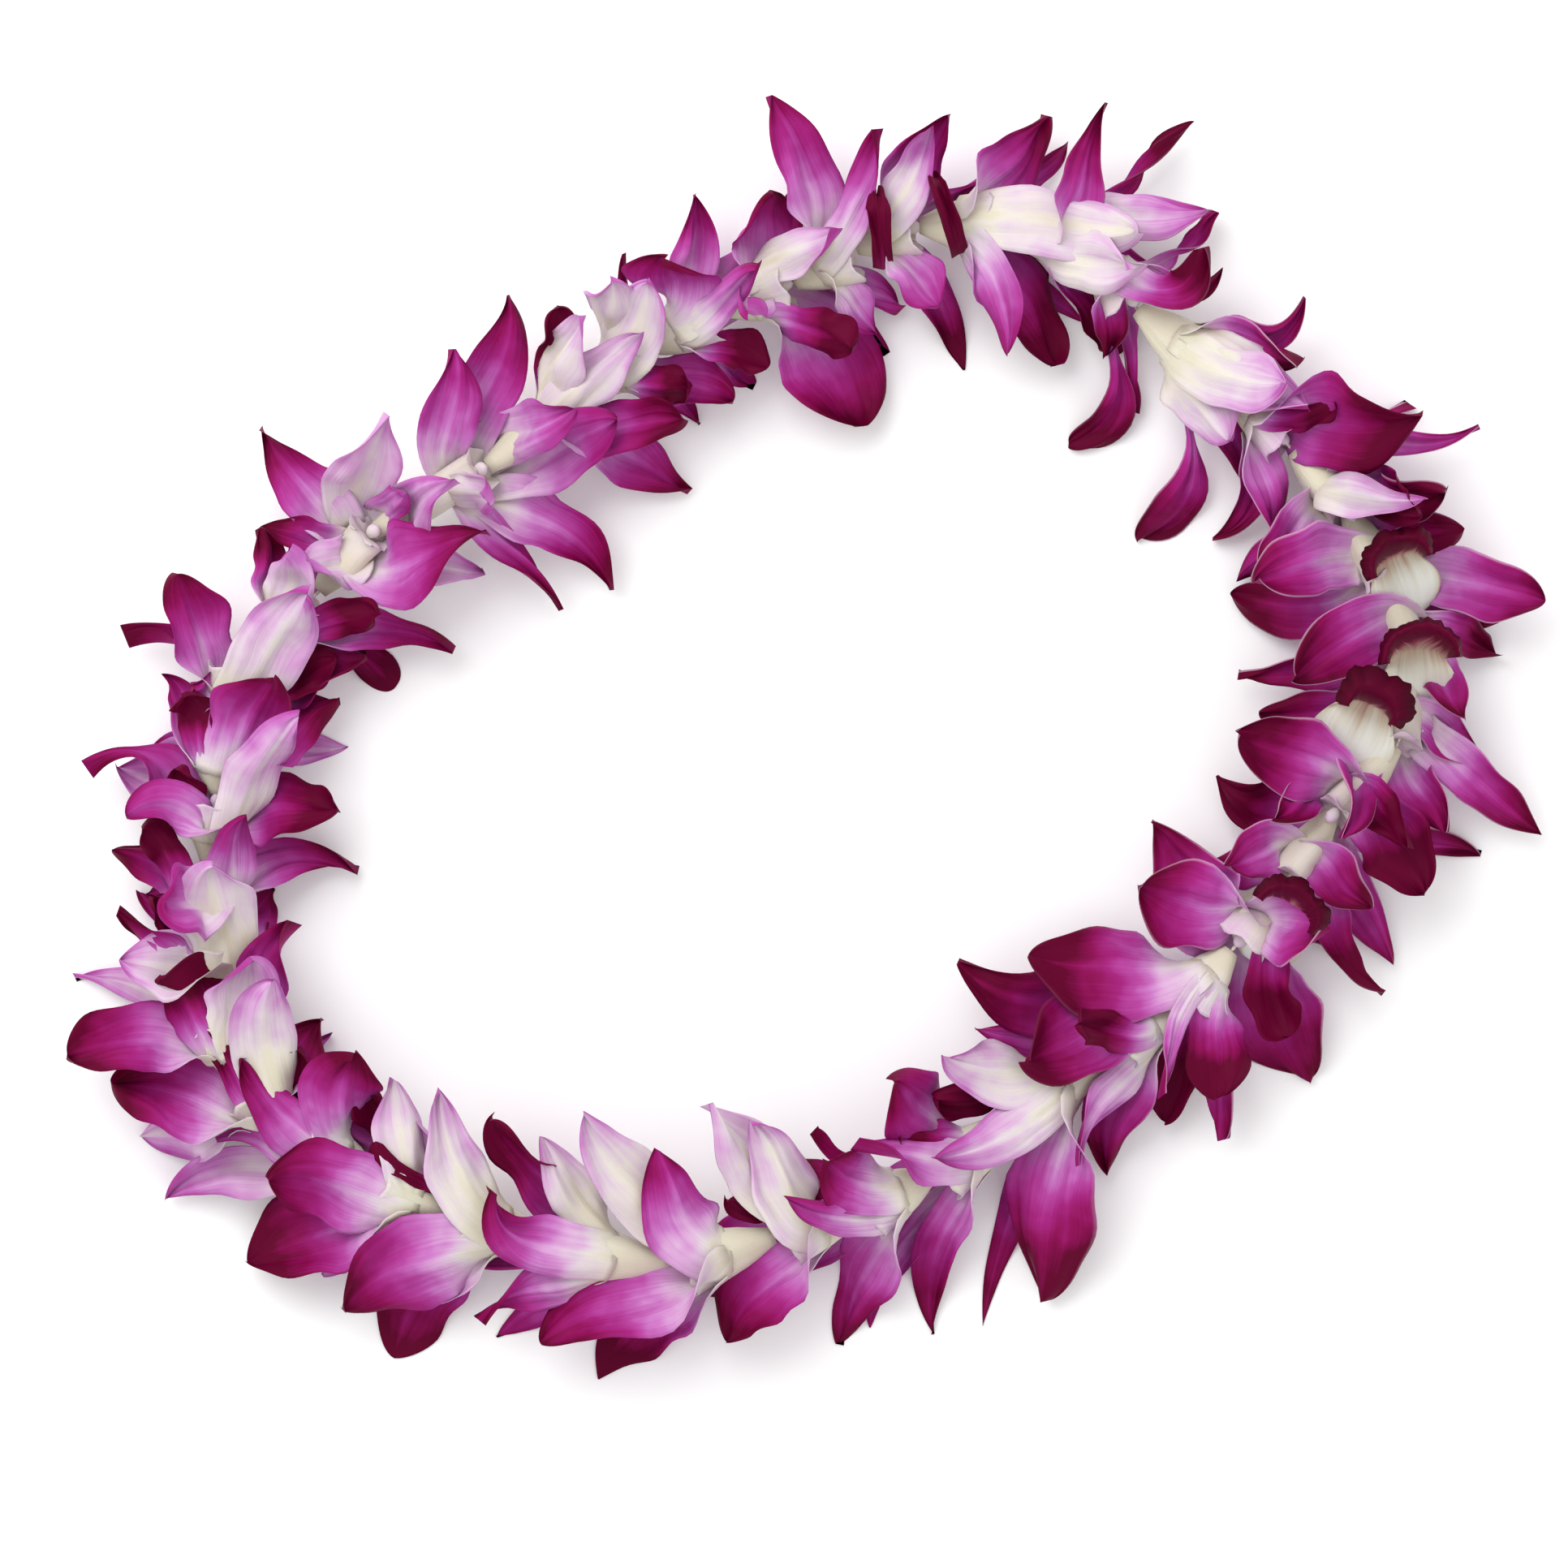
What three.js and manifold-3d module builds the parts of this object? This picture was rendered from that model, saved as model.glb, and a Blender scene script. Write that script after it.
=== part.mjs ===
// A fresh flower lei: dendrobium orchid blooms strung base into mouth on one closed cotton thread,
// lying in a loose slanting oval on a flat surface. Millimetres, +Z up, the surface at z = 0, and the
// origin under the middle of the loop. Each bloom is one grown piece: a tubular base that the thread
// runs through, three sepals, two broad petals and a frilled lip. All blooms open the same way along
// the thread, clockwise seen from above.
import * as THREE from "three";
import { mergeVertices } from "three/addons/utils/BufferGeometryUtils.js";
import Module from "manifold-3d";

const wasm = await Module();
wasm.setup();

// Driving dimensions, in millimetres.
const LOOP_LENGTH = 437; // the whole lei from its left petals to its right ones
const LEFT_PIXEL = 82; // where the photograph has those petals
const RIGHT_PIXEL = 1905;
const MIDDLE_PIXEL = [993.5, 915];
const PIXEL = LOOP_LENGTH / (RIGHT_PIXEL - LEFT_PIXEL); // millimetres a pixel of the photograph
const THREAD_HEIGHT = 18;
const RISE = 1.32; // the tips' heights stand this much taller than stated
const PRESS = 5; // and this much lower, so that the lowest blades are pressed flat on the surface

const THREAD_RADIUS = 0.5;
const HOLE_RADIUS = 0.9; // the hole that the needle leaves through a bloom's base
const BLADE_THICKNESS = 0.7;
const THREAD_SIDES = 4;
const KNOT_RADIUS = 1.7;
const KNOT_AFTER = 4; // the bloom in whose mouth the ends are tied
const CLEARANCE = 0.35; // kept between a bloom and the ones strung before it
const FINEST = 0.06; // slivers and edges finer than this are closed up

// The tubular base, between the bloom before and the start of this bloom's mouth.
const BASE_BEHIND = 1.08; // in steps from one bloom's mouth to the next
const CUP_BEHIND = 0.45;
const CUP_RADIUS = 5.0;
const FLATTEN = 0.55; // how far a blade has turned level by lying in the heap
const BASE_PROFILE = [
  [0.0, 2.6],
  [0.3, 5.0],
  [1.0, 6.6],
]; // share of the base's length, radius
const BASE_SIDES = 6;

// The kinds of blade: half the width, how wide the foot is, where the blade is widest, how blunt it
// is past that, how much its middle is hollowed, and its corners: the rows as shares of the length,
// the columns as shares of the half width, and the columns of the row that ends it.
const POINTED = [0];
const BLUNT = [-0.42, 0.42];
const KINDS = {
  sepal: { halfWidth: 6.6, foot: 0.37, widest: 0.5, point: 1.5, hollow: 0.02, columns: [-1, 1], end: POINTED },
  tail: { halfWidth: 7.0, foot: 0.35, widest: 0.4, point: 1.3, hollow: 0.03, columns: [-1, 1], end: POINTED },
  petal: { halfWidth: 12.5, foot: 0.2, widest: 0.62, point: 2.6, hollow: 0.008, columns: [-1, 0, 1], end: BLUNT },
  peak: { halfWidth: 12.0, foot: 0.2, widest: 0.52, point: 1.5, hollow: 0.01, columns: [-1, 0, 1], end: POINTED },
  lip: { halfWidth: 8.0, foot: 0.3, widest: 0.72, point: 3.2, hollow: 0.05, columns: [-1, 1], end: BLUNT },
};
const ROWS = [0, 0.32, 0.68, 1];

// One entry a bloom, clockwise in the order of stringing. "mouth" is its mouth and "tips" are the tips
// of its blades: the pixel across and down in the photograph, the height in millimetres, and the
// blade's width against its kind's. "lift" is how far the bloom faces the sky, in degrees.
const BLOOMS = [
  { mouth: [1250, 1385], lift: 5, tips: [
    ["sepal", 1163, 1298, 34, 1.2], ["lip", 1150, 1350, 24, 0.8], ["sepal", 1150, 1420, 36, 1],
    ["peak", 1283, 1603, 9, 1], ["peak", 1213, 1640, 0, 0.6], ["sepal", 1160, 1480, 4, 0.8]] },
  { mouth: [1140, 1452], lift: 5, tips: [
    ["petal", 1098, 1328, 30, 0.9], ["lip", 1108, 1388, 26, 0.8], ["sepal", 1054, 1402, 34, 1],
    ["peak", 1152, 1650, 2, 0.8], ["sepal", 1073, 1642, 0, 0.8], ["sepal", 1046, 1500, 5, 0.8]] },
  { mouth: [1052, 1492], lift: 5, tips: [
    ["petal", 1020, 1425, 36, 0.7], ["lip", 953, 1425, 26, 0.9], ["tail", 1004, 1389, 24, 0.6],
    ["peak", 1040, 1664, 2, 0.9], ["sepal", 968, 1470, 36, 0.8], ["sepal", 965, 1600, 0, 0.8]] },
  { mouth: [945, 1525], lift: 5, tips: [
    ["sepal", 870, 1357, 26, 1.1], ["sepal", 926, 1379, 34, 1.2], ["petal", 895, 1655, 16, 1],
    ["sepal", 926, 1602, 3, 0.9], ["petal", 850, 1590, 0, 0.9], ["lip", 893, 1470, 22, 0.8]] },
  { mouth: [815, 1556], lift: 8, tips: [
    ["peak", 812, 1412, 32, 0.9], ["sepal", 720, 1368, 27, 1.1], ["petal", 668, 1655, 22, 1.1],
    ["sepal", 698, 1637, 9, 1], ["peak", 735, 1706, 0, 1], ["lip", 745, 1480, 22, 0.8]] },
  { mouth: [672, 1528], lift: 8, tips: [
    ["peak", 614, 1463, 36, 0.7], ["lip", 604, 1374, 24, 1], ["peak", 592, 1624, 24, 0.6],
    ["sepal", 665, 1415, 28, 0.9], ["sepal", 610, 1655, 0, 0.9], ["sepal", 565, 1560, 6, 0.7]] },
  { mouth: [553, 1497], lift: 8, tips: [
    ["sepal", 545, 1340, 32, 1.1], ["sepal", 500, 1345, 24, 1], ["petal", 424, 1612, 22, 1.15],
    ["sepal", 528, 1607, 12, 1], ["petal", 482, 1680, 0, 1], ["lip", 474, 1424, 31, 0.7]] },
  { mouth: [455, 1448], lift: 8, tips: [
    ["sepal", 490, 1328, 28, 1.1], ["lip", 452, 1345, 20, 0.7], ["petal", 337, 1450, 30, 1],
    ["petal", 304, 1560, 10, 1.1], ["sepal", 392, 1577, 2, 1], ["sepal", 400, 1330, 14, 0.8]] },
  { mouth: [365, 1398], lift: 8, tips: [
    ["petal", 432, 1292, 34, 1], ["petal", 318, 1295, 30, 0.9], ["lip", 366, 1292, 24, 0.8],
    ["sepal", 202, 1475, 7, 0.9], ["sepal", 272, 1464, 0, 0.9], ["sepal", 268, 1405, 20, 0.6]] },
  { mouth: [300, 1328], lift: 8, tips: [
    ["petal", 137, 1335, 18, 1.15], ["sepal", 172, 1400, 2, 1.1], ["peak", 396, 1255, 16, 0.9],
    ["sepal", 405, 1275, 6, 0.6], ["lip", 285, 1258, 31, 0.8], ["sepal", 345, 1200, 32, 1]] },
  { mouth: [262, 1240], lift: 12, tips: [
    ["petal", 89, 1290, 28, 1.05], ["peak", 366, 1136, 26, 0.9], ["lip", 206, 1205, 34, 1],
    ["sepal", 84, 1206, 4, 0.7], ["sepal", 300, 1175, 34, 1], ["sepal", 330, 1140, 8, 0.7]] },
  { mouth: [260, 1148], lift: 12, tips: [
    ["peak", 147, 1137, 26, 0.6], ["sepal", 158, 1188, 12, 0.9], ["lip", 205, 1090, 28, 0.8],
    ["sepal", 250, 1062, 36, 1], ["peak", 332, 1095, 1, 0.7], ["sepal", 165, 1100, 4, 0.6]] },
  { mouth: [258, 1058], lift: 15, tips: [
    ["sepal", 217, 1108, 37, 1], ["peak", 438, 1076, 5, 0.9], ["petal", 138, 1052, 18, 0.8],
    ["lip", 178, 1020, 28, 0.9], ["sepal", 308, 1010, 34, 1], ["sepal", 175, 1110, 2, 0.7]] },
  { mouth: [268, 972], lift: 15, tips: [
    ["tail", 107, 945, 18, 1], ["petal", 166, 1010, 30, 0.8], ["sepal", 372, 882, 36, 1.2],
    ["petal", 415, 985, 24, 1], ["lip", 222, 925, 26, 0.7], ["sepal", 400, 945, 4, 0.8]] },
  { mouth: [276, 892], lift: 12, tips: [
    ["peak", 418, 865, 14, 1], ["petal", 345, 835, 34, 0.9], ["sepal", 424, 920, 2, 0.8],
    ["sepal", 200, 830, 12, 0.7], ["lip", 232, 862, 30, 0.8], ["sepal", 175, 925, 2, 0.8]] },
  { mouth: [312, 810], lift: 10, tips: [
    ["petal", 222, 708, 24, 0.95], ["tail", 152, 783, 14, 0.7], ["petal", 452, 808, 18, 0.9],
    ["sepal", 240, 845, 24, 1], ["lip", 395, 800, 30, 0.8], ["sepal", 290, 745, 36, 1.2]] },
  { mouth: [400, 722], lift: 10, tips: [
    ["sepal", 364, 680, 34, 1.2], ["petal", 560, 800, 14, 0.6], ["petal", 486, 841, 3, 0.6],
    ["sepal", 322, 650, 20, 0.9], ["lip", 470, 760, 28, 0.7], ["sepal", 372, 640, 10, 0.9]] },
  { mouth: [470, 648], lift: 55, tips: [
    ["sepal", 482, 515, 30, 1.2], ["peak", 323, 529, 22, 1], ["peak", 606, 660, 34, 1],
    ["sepal", 594, 702, 8, 1], ["sepal", 330, 660, 24, 0.9], ["lip", 520, 600, 30, 0.8]] },
  { mouth: [612, 568], lift: 60, tips: [
    ["peak", 628, 367, 26, 0.95], ["sepal", 533, 478, 30, 1.1], ["tail", 753, 726, 10, 1.5],
    ["tail", 688, 752, 12, 0.8], ["petal", 762, 520, 30, 0.8], ["lip", 590, 600, 40, 0.8]] },
  { mouth: [732, 478], lift: 30, tips: [
    ["sepal", 722, 396, 36, 1.2], ["lip", 690, 382, 26, 0.9], ["peak", 848, 604, 6, 0.8],
    ["petal", 845, 520, 18, 0.7], ["sepal", 785, 420, 34, 1.1], ["sepal", 768, 566, 2, 0.8]] },
  { mouth: [800, 425], lift: 15, tips: [
    ["tail", 770, 314, 22, 0.7], ["petal", 904, 494, 18, 0.6], ["sepal", 752, 362, 30, 1.1],
    ["lip", 850, 480, 24, 0.7], ["petal", 800, 345, 34, 0.7], ["sepal", 860, 520, 3, 0.7]] },
  { mouth: [895, 378], lift: 10, tips: [
    ["petal", 822, 325, 34, 1.1], ["sepal", 855, 239, 16, 0.9], ["peak", 980, 229, 12, 0.9],
    ["lip", 945, 455, 20, 0.7], ["sepal", 935, 335, 38, 0.8], ["sepal", 930, 470, 3, 0.7]] },
  { mouth: [985, 345], lift: 12, tips: [
    ["petal", 1062, 523, 10, 1.25], ["sepal", 922, 395, 35, 0.9], ["sepal", 1030, 290, 36, 0.9],
    ["petal", 950, 240, 26, 0.8], ["lip", 1050, 430, 28, 0.9], ["sepal", 1096, 430, 2, 0.8]] },
  { mouth: [1060, 302], lift: 12, tips: [
    ["peak", 948, 123, 26, 1], ["petal", 1078, 166, 30, 0.8], ["lip", 1092, 248, 36, 0.6],
    ["sepal", 1080, 410, 16, 0.9], ["sepal", 1112, 378, 8, 0.8], ["sepal", 1010, 205, 8, 0.8]] },
  { mouth: [1140, 277], lift: 12, tips: [
    ["peak", 1172, 145, 26, 0.9], ["sepal", 1145, 168, 34, 0.9], ["lip", 1162, 226, 38, 0.6],
    ["petal", 1152, 385, 24, 0.7], ["sepal", 1188, 452, 2, 0.9], ["sepal", 1208, 215, 10, 0.7]] },
  { mouth: [1245, 284], lift: 5, tips: [
    ["peak", 1292, 142, 16, 1], ["petal", 1300, 446, 11, 1.05], ["sepal", 1240, 440, 26, 0.9],
    ["sepal", 1318, 172, 8, 0.6], ["lip", 1290, 352, 3, 0.7], ["sepal", 1338, 392, 0, 0.6]] },
  { mouth: [1350, 312], lift: 5, tips: [
    ["tail", 1360, 131, 26, 1.4], ["sepal", 1486, 262, 24, 1.2], ["tail", 1472, 146, 12, 0.5],
    ["petal", 1328, 345, 36, 1], ["lip", 1385, 378, 4, 0.7], ["sepal", 1440, 330, 3, 0.7]] },
  { mouth: [1408, 388], lift: 10, tips: [
    ["peak", 1474, 313, 34, 0.7], ["petal", 1364, 437, 14, 0.7], ["sepal", 1506, 330, 18, 0.6],
    ["sepal", 1503, 264, 6, 0.5], ["petal", 1322, 540, 0, 0.8], ["lip", 1408, 516, 6, 0.5]] },
  { mouth: [1515, 475], lift: 15, tips: [
    ["petal", 1602, 366, 20, 0.8], ["lip", 1602, 425, 30, 0.7], ["sepal", 1612, 452, 34, 1.2],
    ["petal", 1404, 660, 2, 0.9], ["sepal", 1538, 600, 10, 0.9], ["sepal", 1640, 500, 8, 0.7]] },
  { mouth: [1600, 562], lift: 20, tips: [
    ["peak", 1744, 516, 34, 1.3], ["peak", 1498, 663, 6, 0.8], ["sepal", 1562, 690, 14, 1],
    ["tail", 1819, 526, 14, 0.7], ["lip", 1645, 520, 28, 0.8], ["sepal", 1742, 492, 4, 0.7]] },
  { mouth: [1665, 638], lift: 45, tips: [
    ["petal", 1560, 682, 24, 0.9], ["petal", 1768, 590, 30, 0.9], ["sepal", 1802, 668, 18, 0.8],
    ["sepal", 1520, 700, 8, 0.8], ["lip", 1745, 640, 34, 0.7], ["sepal", 1690, 570, 20, 0.7]] },
  { mouth: [1712, 728], lift: 60, tips: [
    ["petal", 1522, 742, 20, 1.1], ["peak", 1898, 742, 24, 1], ["lip", 1695, 672, 38, 1],
    ["sepal", 1630, 668, 26, 1], ["sepal", 1790, 690, 20, 0.7], ["sepal", 1800, 830, 0, 0.8]] },
  { mouth: [1738, 818], lift: 60, tips: [
    ["peak", 1592, 838, 28, 0.9], ["petal", 1872, 757, 7, 0.9], ["lip", 1742, 776, 38, 1.1],
    ["sepal", 1530, 838, 10, 0.9], ["sepal", 1798, 884, 28, 1], ["sepal", 1850, 820, 0, 0.8]] },
  { mouth: [1716, 928], lift: 60, tips: [
    ["peak", 1522, 906, 25, 1.05], ["peak", 1902, 1028, 10, 1], ["lip", 1700, 842, 38, 1.1],
    ["sepal", 1580, 888, 4, 0.9], ["sepal", 1856, 938, 24, 0.8], ["sepal", 1650, 1032, 34, 1]] },
  { mouth: [1635, 1010], lift: 45, tips: [
    ["peak", 1502, 954, 15, 1.1], ["petal", 1752, 1105, 22, 1], ["sepal", 1516, 1078, 30, 0.9],
    ["sepal", 1834, 1062, 4, 0.8], ["lip", 1645, 1055, 34, 0.7], ["sepal", 1720, 1183, 4, 1]] },
  { mouth: [1580, 1092], lift: 45, tips: [
    ["tail", 1424, 1016, 14, 1.6], ["lip", 1612, 1094, 38, 1], ["sepal", 1620, 1136, 34, 1],
    ["sepal", 1708, 1226, 2, 0.7], ["petal", 1690, 1110, 12, 0.8], ["sepal", 1500, 1060, 4, 0.8]] },
  { mouth: [1512, 1178], lift: 10, tips: [
    ["petal", 1432, 1074, 26, 1], ["petal", 1618, 1330, 4, 1], ["sepal", 1548, 1150, 36, 0.8],
    ["lip", 1560, 1250, 16, 0.8], ["sepal", 1395, 1120, 6, 0.8], ["sepal", 1480, 1290, 3, 0.8]] },
  { mouth: [1448, 1244], lift: 5, tips: [
    ["petal", 1268, 1160, 26, 1.15], ["sepal", 1424, 1341, 36, 0.8], ["petal", 1436, 1385, 12, 1.1],
    ["sepal", 1510, 1405, 0, 0.9], ["lip", 1385, 1225, 20, 0.8], ["sepal", 1330, 1260, 3, 0.8]] },
  { mouth: [1358, 1295], lift: 5, tips: [
    ["peak", 1181, 1184, 20, 0.95], ["petal", 1292, 1368, 36, 0.9], ["peak", 1368, 1447, 6, 1],
    ["sepal", 1200, 1262, 12, 1], ["lip", 1312, 1262, 30, 0.8], ["sepal", 1275, 1400, 2, 0.8]] },
];

const radians = (degrees) => (degrees * Math.PI) / 180;
const mix = (a, b, share) => a + (b - a) * share;
const smooth = (from, to, x) => {
  const t = Math.min(1, Math.max(0, (x - from) / (to - from)));
  return t * t * (3 - 2 * t);
};
const UP = new THREE.Vector3(0, 0, 1);

// A pixel of the photograph and a height as a point of the part.
function pointAt([across, down], height) {
  return new THREE.Vector3((across - MIDDLE_PIXEL[0]) * PIXEL, (MIDDLE_PIXEL[1] - down) * PIXEL, height);
}

// The closed curve through every mouth, which the thread follows, by count of steps from bloom to bloom.
const mouths = BLOOMS.map(({ mouth }) => pointAt(mouth, THREAD_HEIGHT));
function route(at) {
  const count = mouths.length;
  const here = Math.floor(at);
  const t = at - here;
  const [a, b, c, d] = [-1, 0, 1, 2].map((k) => mouths[(((here + k) % count) + count) % count]);
  const blend = (p, q, r, s) =>
    0.5 * (2 * q + (r - p) * t + (2 * p - 5 * q + 4 * r - s) * t * t + (3 * q - p - 3 * r + s) * t ** 3);
  return new THREE.Vector3(blend(a.x, b.x, c.x, d.x), blend(a.y, b.y, c.y, d.y), THREAD_HEIGHT);
}

// Where a bloom's base starts, where its mouth starts to open, and the way it faces.
function frameOf(index) {
  const cup = route(index - CUP_BEHIND);
  const along = mouths[index].clone().sub(cup).normalize();
  const out = UP.clone().cross(along).normalize();
  const lift = radians(BLOOMS[index].lift);
  const face = along.clone().multiplyScalar(Math.cos(lift)).addScaledVector(UP, Math.sin(lift));
  return { base: route(index - BASE_BEHIND), cup, along, out, face };
}

// The blades of a bloom: their feet are spread evenly round the mouth in the order of their tips.
function bladesOf(index, frame) {
  const tips = BLOOMS[index].tips.map(([kind, across, down, height, broad]) => {
    const tip = pointAt([across, down], height * RISE - PRESS);
    const arm = tip.clone().sub(frame.cup);
    return { ...KINDS[kind], kind, tip, broad, turn: Math.atan2(arm.z, arm.dot(frame.out)) };
  });
  tips.sort((a, b) => a.turn - b.turn);
  const step = (2 * Math.PI) / tips.length;
  const start = tips.reduce((sum, { turn }, k) => sum + turn - k * step, 0) / tips.length;
  return tips.map((blade, k) => ({ ...blade, foot: blade.foot, footTurn: start + k * step, phase: 2.4 * k + index }));
}

// The midrib of a blade as a curve from its foot to its tip.
function midribOf(frame, blade) {
  const radial = frame.out.clone().multiplyScalar(Math.cos(blade.footTurn)).addScaledVector(UP, Math.sin(blade.footTurn));
  const foot = frame.cup.clone().addScaledVector(radial, CUP_RADIUS).addScaledVector(frame.along, -1);
  const reach = blade.tip.distanceTo(foot);
  const rise = foot.clone().addScaledVector(frame.along, 0.3 * reach).addScaledVector(radial, 0.12 * reach);
  const arm = blade.tip.clone().sub(frame.cup);
  const away = arm.clone().addScaledVector(frame.along, -arm.dot(frame.along)).normalize();
  const end = blade.tip.clone().sub(foot).normalize().addScaledVector(away, 0.5).normalize();
  const bend = blade.tip.clone().addScaledVector(end, -0.38 * reach);
  if (blade.tip.z < 0) bend.z = blade.tip.z;
  return new THREE.CubicBezierCurve3(foot, rise, bend, blade.tip);
}

// The way across a blade that faces the bloom's middle, at a share u of its length.
function acrossOf(frame, curve, u) {
  const arm = curve.getPoint(u).sub(frame.cup).addScaledVector(frame.along, 6);
  const tangent = curve.getTangent(u);
  const across = frame.face.clone().cross(arm);
  return across.addScaledVector(tangent, -across.dot(tangent)).normalize();
}

// Which of a blade's edges a level blade would have on that side.
function sideOf(frame, curve) {
  const level = UP.clone().cross(curve.getTangent(0.6));
  return level.dot(acrossOf(frame, curve, 0.6)) < 0 ? -1 : 1;
}

// A rib of a blade at a share u of its length: its place and the ways across and through the blade.
function ribOf(frame, curve, u) {
  const place = curve.getPoint(u);
  const tangent = curve.getTangent(u);
  const across = acrossOf(frame, curve, u);
  const level = UP.clone().cross(tangent).normalize().multiplyScalar(sideOf(frame, curve));
  across.lerp(level, FLATTEN * smooth(0.1, 0.6, u));
  across.addScaledVector(tangent, -across.dot(tangent)).normalize();
  return { u, place, across, through: tangent.clone().cross(across) };
}

// Half the width of a blade at a share u of its length.
function halfWidth(blade, u) {
  const rise = mix(blade.foot / blade.broad, 1, smooth(0.08, blade.widest, u));
  const past = Math.max(0, (u - blade.widest) / (1 - blade.widest));
  return blade.halfWidth * blade.broad * rise * Math.sqrt(Math.max(0, 1 - past ** blade.point));
}

// A point on a blade, at a share v of its half width from the midrib, with its edges moved out by grow.
function bladePoint(blade, rib, v, grow) {
  const half = rib.u < 1 ? halfWidth(blade, rib.u) : blade.halfWidth * blade.broad;
  const reach = v * half;
  const hollow = mix(0.08, blade.hollow, smooth(0.1, 0.5, rib.u)) * reach * reach;
  const wave = 1.3 * smooth(0.3, 0.8, rib.u) * v * v * Math.sin(6 * rib.u + blade.phase + 1.6 * v);
  const point = rib.place.clone().addScaledVector(rib.across, reach + v * grow);
  return point.addScaledVector(rib.through, hollow + wave);
}

// A closed blade, thickened and split into triangles alike on both faces.
function bladeSolid(frame, blade, grow) {
  const curve = midribOf(frame, blade);
  const half = BLADE_THICKNESS / 2 + grow;
  const top = [];
  const bottom = [];
  const rows = ROWS.map((u) => {
    const rib = ribOf(frame, curve, u);
    return (u < 1 ? blade.columns : blade.end).map((v) => {
      const centre = bladePoint(blade, rib, v, grow);
      const faced = rib.through.clone().multiplyScalar(half);
      const [upper, under] = [centre.clone().add(faced), centre.clone().sub(faced)];
      const [high, low] = faced.z > 0 ? [upper, under] : [under, upper];
      low.z = Math.max(low.z, -grow);
      high.z = Math.max(high.z, BLADE_THICKNESS + grow);
      top.push(upper);
      bottom.push(under);
      return top.length - 1;
    });
  });
  const lower = top.length;
  const faces = [];
  const both = (a, b, c) => faces.push(a, b, c, lower + a, lower + c, lower + b);
  const wall = (a, b) => faces.push(a, lower + a, lower + b, a, lower + b, b);
  for (const [r, near] of rows.slice(0, -1).entries()) {
    const far = rows[r + 1];
    const steps = near.length - 1;
    const match = (k) => Math.round((k * (far.length - 1)) / steps);
    for (let k = 0; k < steps; k += 1) {
      const [from, to] = [far[match(k)], far[match(k + 1)]];
      both(near[k], from, near[k + 1]);
      if (to !== from) both(near[k + 1], from, to);
    }
    wall(near[0], far[0]);
    wall(far.at(-1), near.at(-1));
  }
  const [foot, end] = [rows[0], rows.at(-1)];
  for (let k = foot.length - 1; k > 0; k -= 1) wall(foot[k], foot[k - 1]);
  for (let k = 1; k < end.length; k += 1) wall(end[k - 1], end[k]);
  const shape = new THREE.BufferGeometry();
  shape.setAttribute("position", new THREE.Float32BufferAttribute([...top, ...bottom].flatMap((p) => p.toArray()), 3));
  shape.setIndex(faces);
  return solidOf(shape);
}

// A closed mesh as a solid that can be joined and cut.
function solidOf(shape) {
  shape.deleteAttribute("normal");
  shape.deleteAttribute("uv");
  const merged = mergeVertices(shape, 1e-4);
  const index = merged.index.array;
  const kept = [];
  for (let i = 0; i < index.length; i += 3) {
    const [a, b, c] = [index[i], index[i + 1], index[i + 2]];
    if (a !== b && b !== c && a !== c) kept.push(a, b, c);
  }
  const mesh = { numProp: 3, vertProperties: merged.attributes.position.array, triVerts: new Uint32Array(kept) };
  return new wasm.Manifold(new wasm.Mesh(mesh));
}

// The tubular base, turned about the thread that runs through it.
function baseSolid(frame, grow) {
  const axis = frame.cup.clone().sub(frame.base);
  const length = axis.length();
  const ring = BASE_PROFILE.map(([share, radius]) => new THREE.Vector2(radius + grow, share * length));
  const profile = [new THREE.Vector2(HOLE_RADIUS, 0), ...ring, new THREE.Vector2(HOLE_RADIUS, length)];
  const shape = new THREE.LatheGeometry([...profile, profile[0]], BASE_SIDES);
  shape.applyQuaternion(new THREE.Quaternion().setFromUnitVectors(new THREE.Vector3(0, 1, 0), axis.normalize()));
  shape.translate(...frame.base.toArray());
  return solidOf(shape);
}

// A whole bloom, or with grow above 0 the room that it needs.
function bloomSolid(index, grow = 0) {
  const frame = frameOf(index);
  let whole = baseSolid(frame, grow);
  for (const blade of bladesOf(index, frame)) whole = whole.add(bladeSolid(frame, blade, grow));
  return whole.trimByPlane([0, 0, 1], 0);
}

// The part of a solid that hangs together, without the scraps that a cut leaves.
function largestOf(solid) {
  return solid.decompose().reduce((best, piece) => (piece.volume() > best.volume() ? piece : best));
}

// The blooms in the order of stringing. Where two would cross, the later one makes room.
function garland() {
  const rooms = BLOOMS.map((_, index) => bloomSolid(index, CLEARANCE));
  const thread = threadSolid(THREAD_RADIUS);
  return BLOOMS.map((_, index) => {
    let solid = bloomSolid(index);
    for (const [other, room] of rooms.entries()) {
      const before = index === 0 ? other === BLOOMS.length - 1 : other < index && !(index === BLOOMS.length - 1 && other === 0);
      if (before && solid.intersect(room).volume() > 0) solid = solid.subtract(room);
    }
    if (solid.intersect(thread).volume() > 0) solid = solid.subtract(threadSolid(HOLE_RADIUS));
    return largestOf(solid).asOriginal().simplify(FINEST);
  });
}

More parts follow.
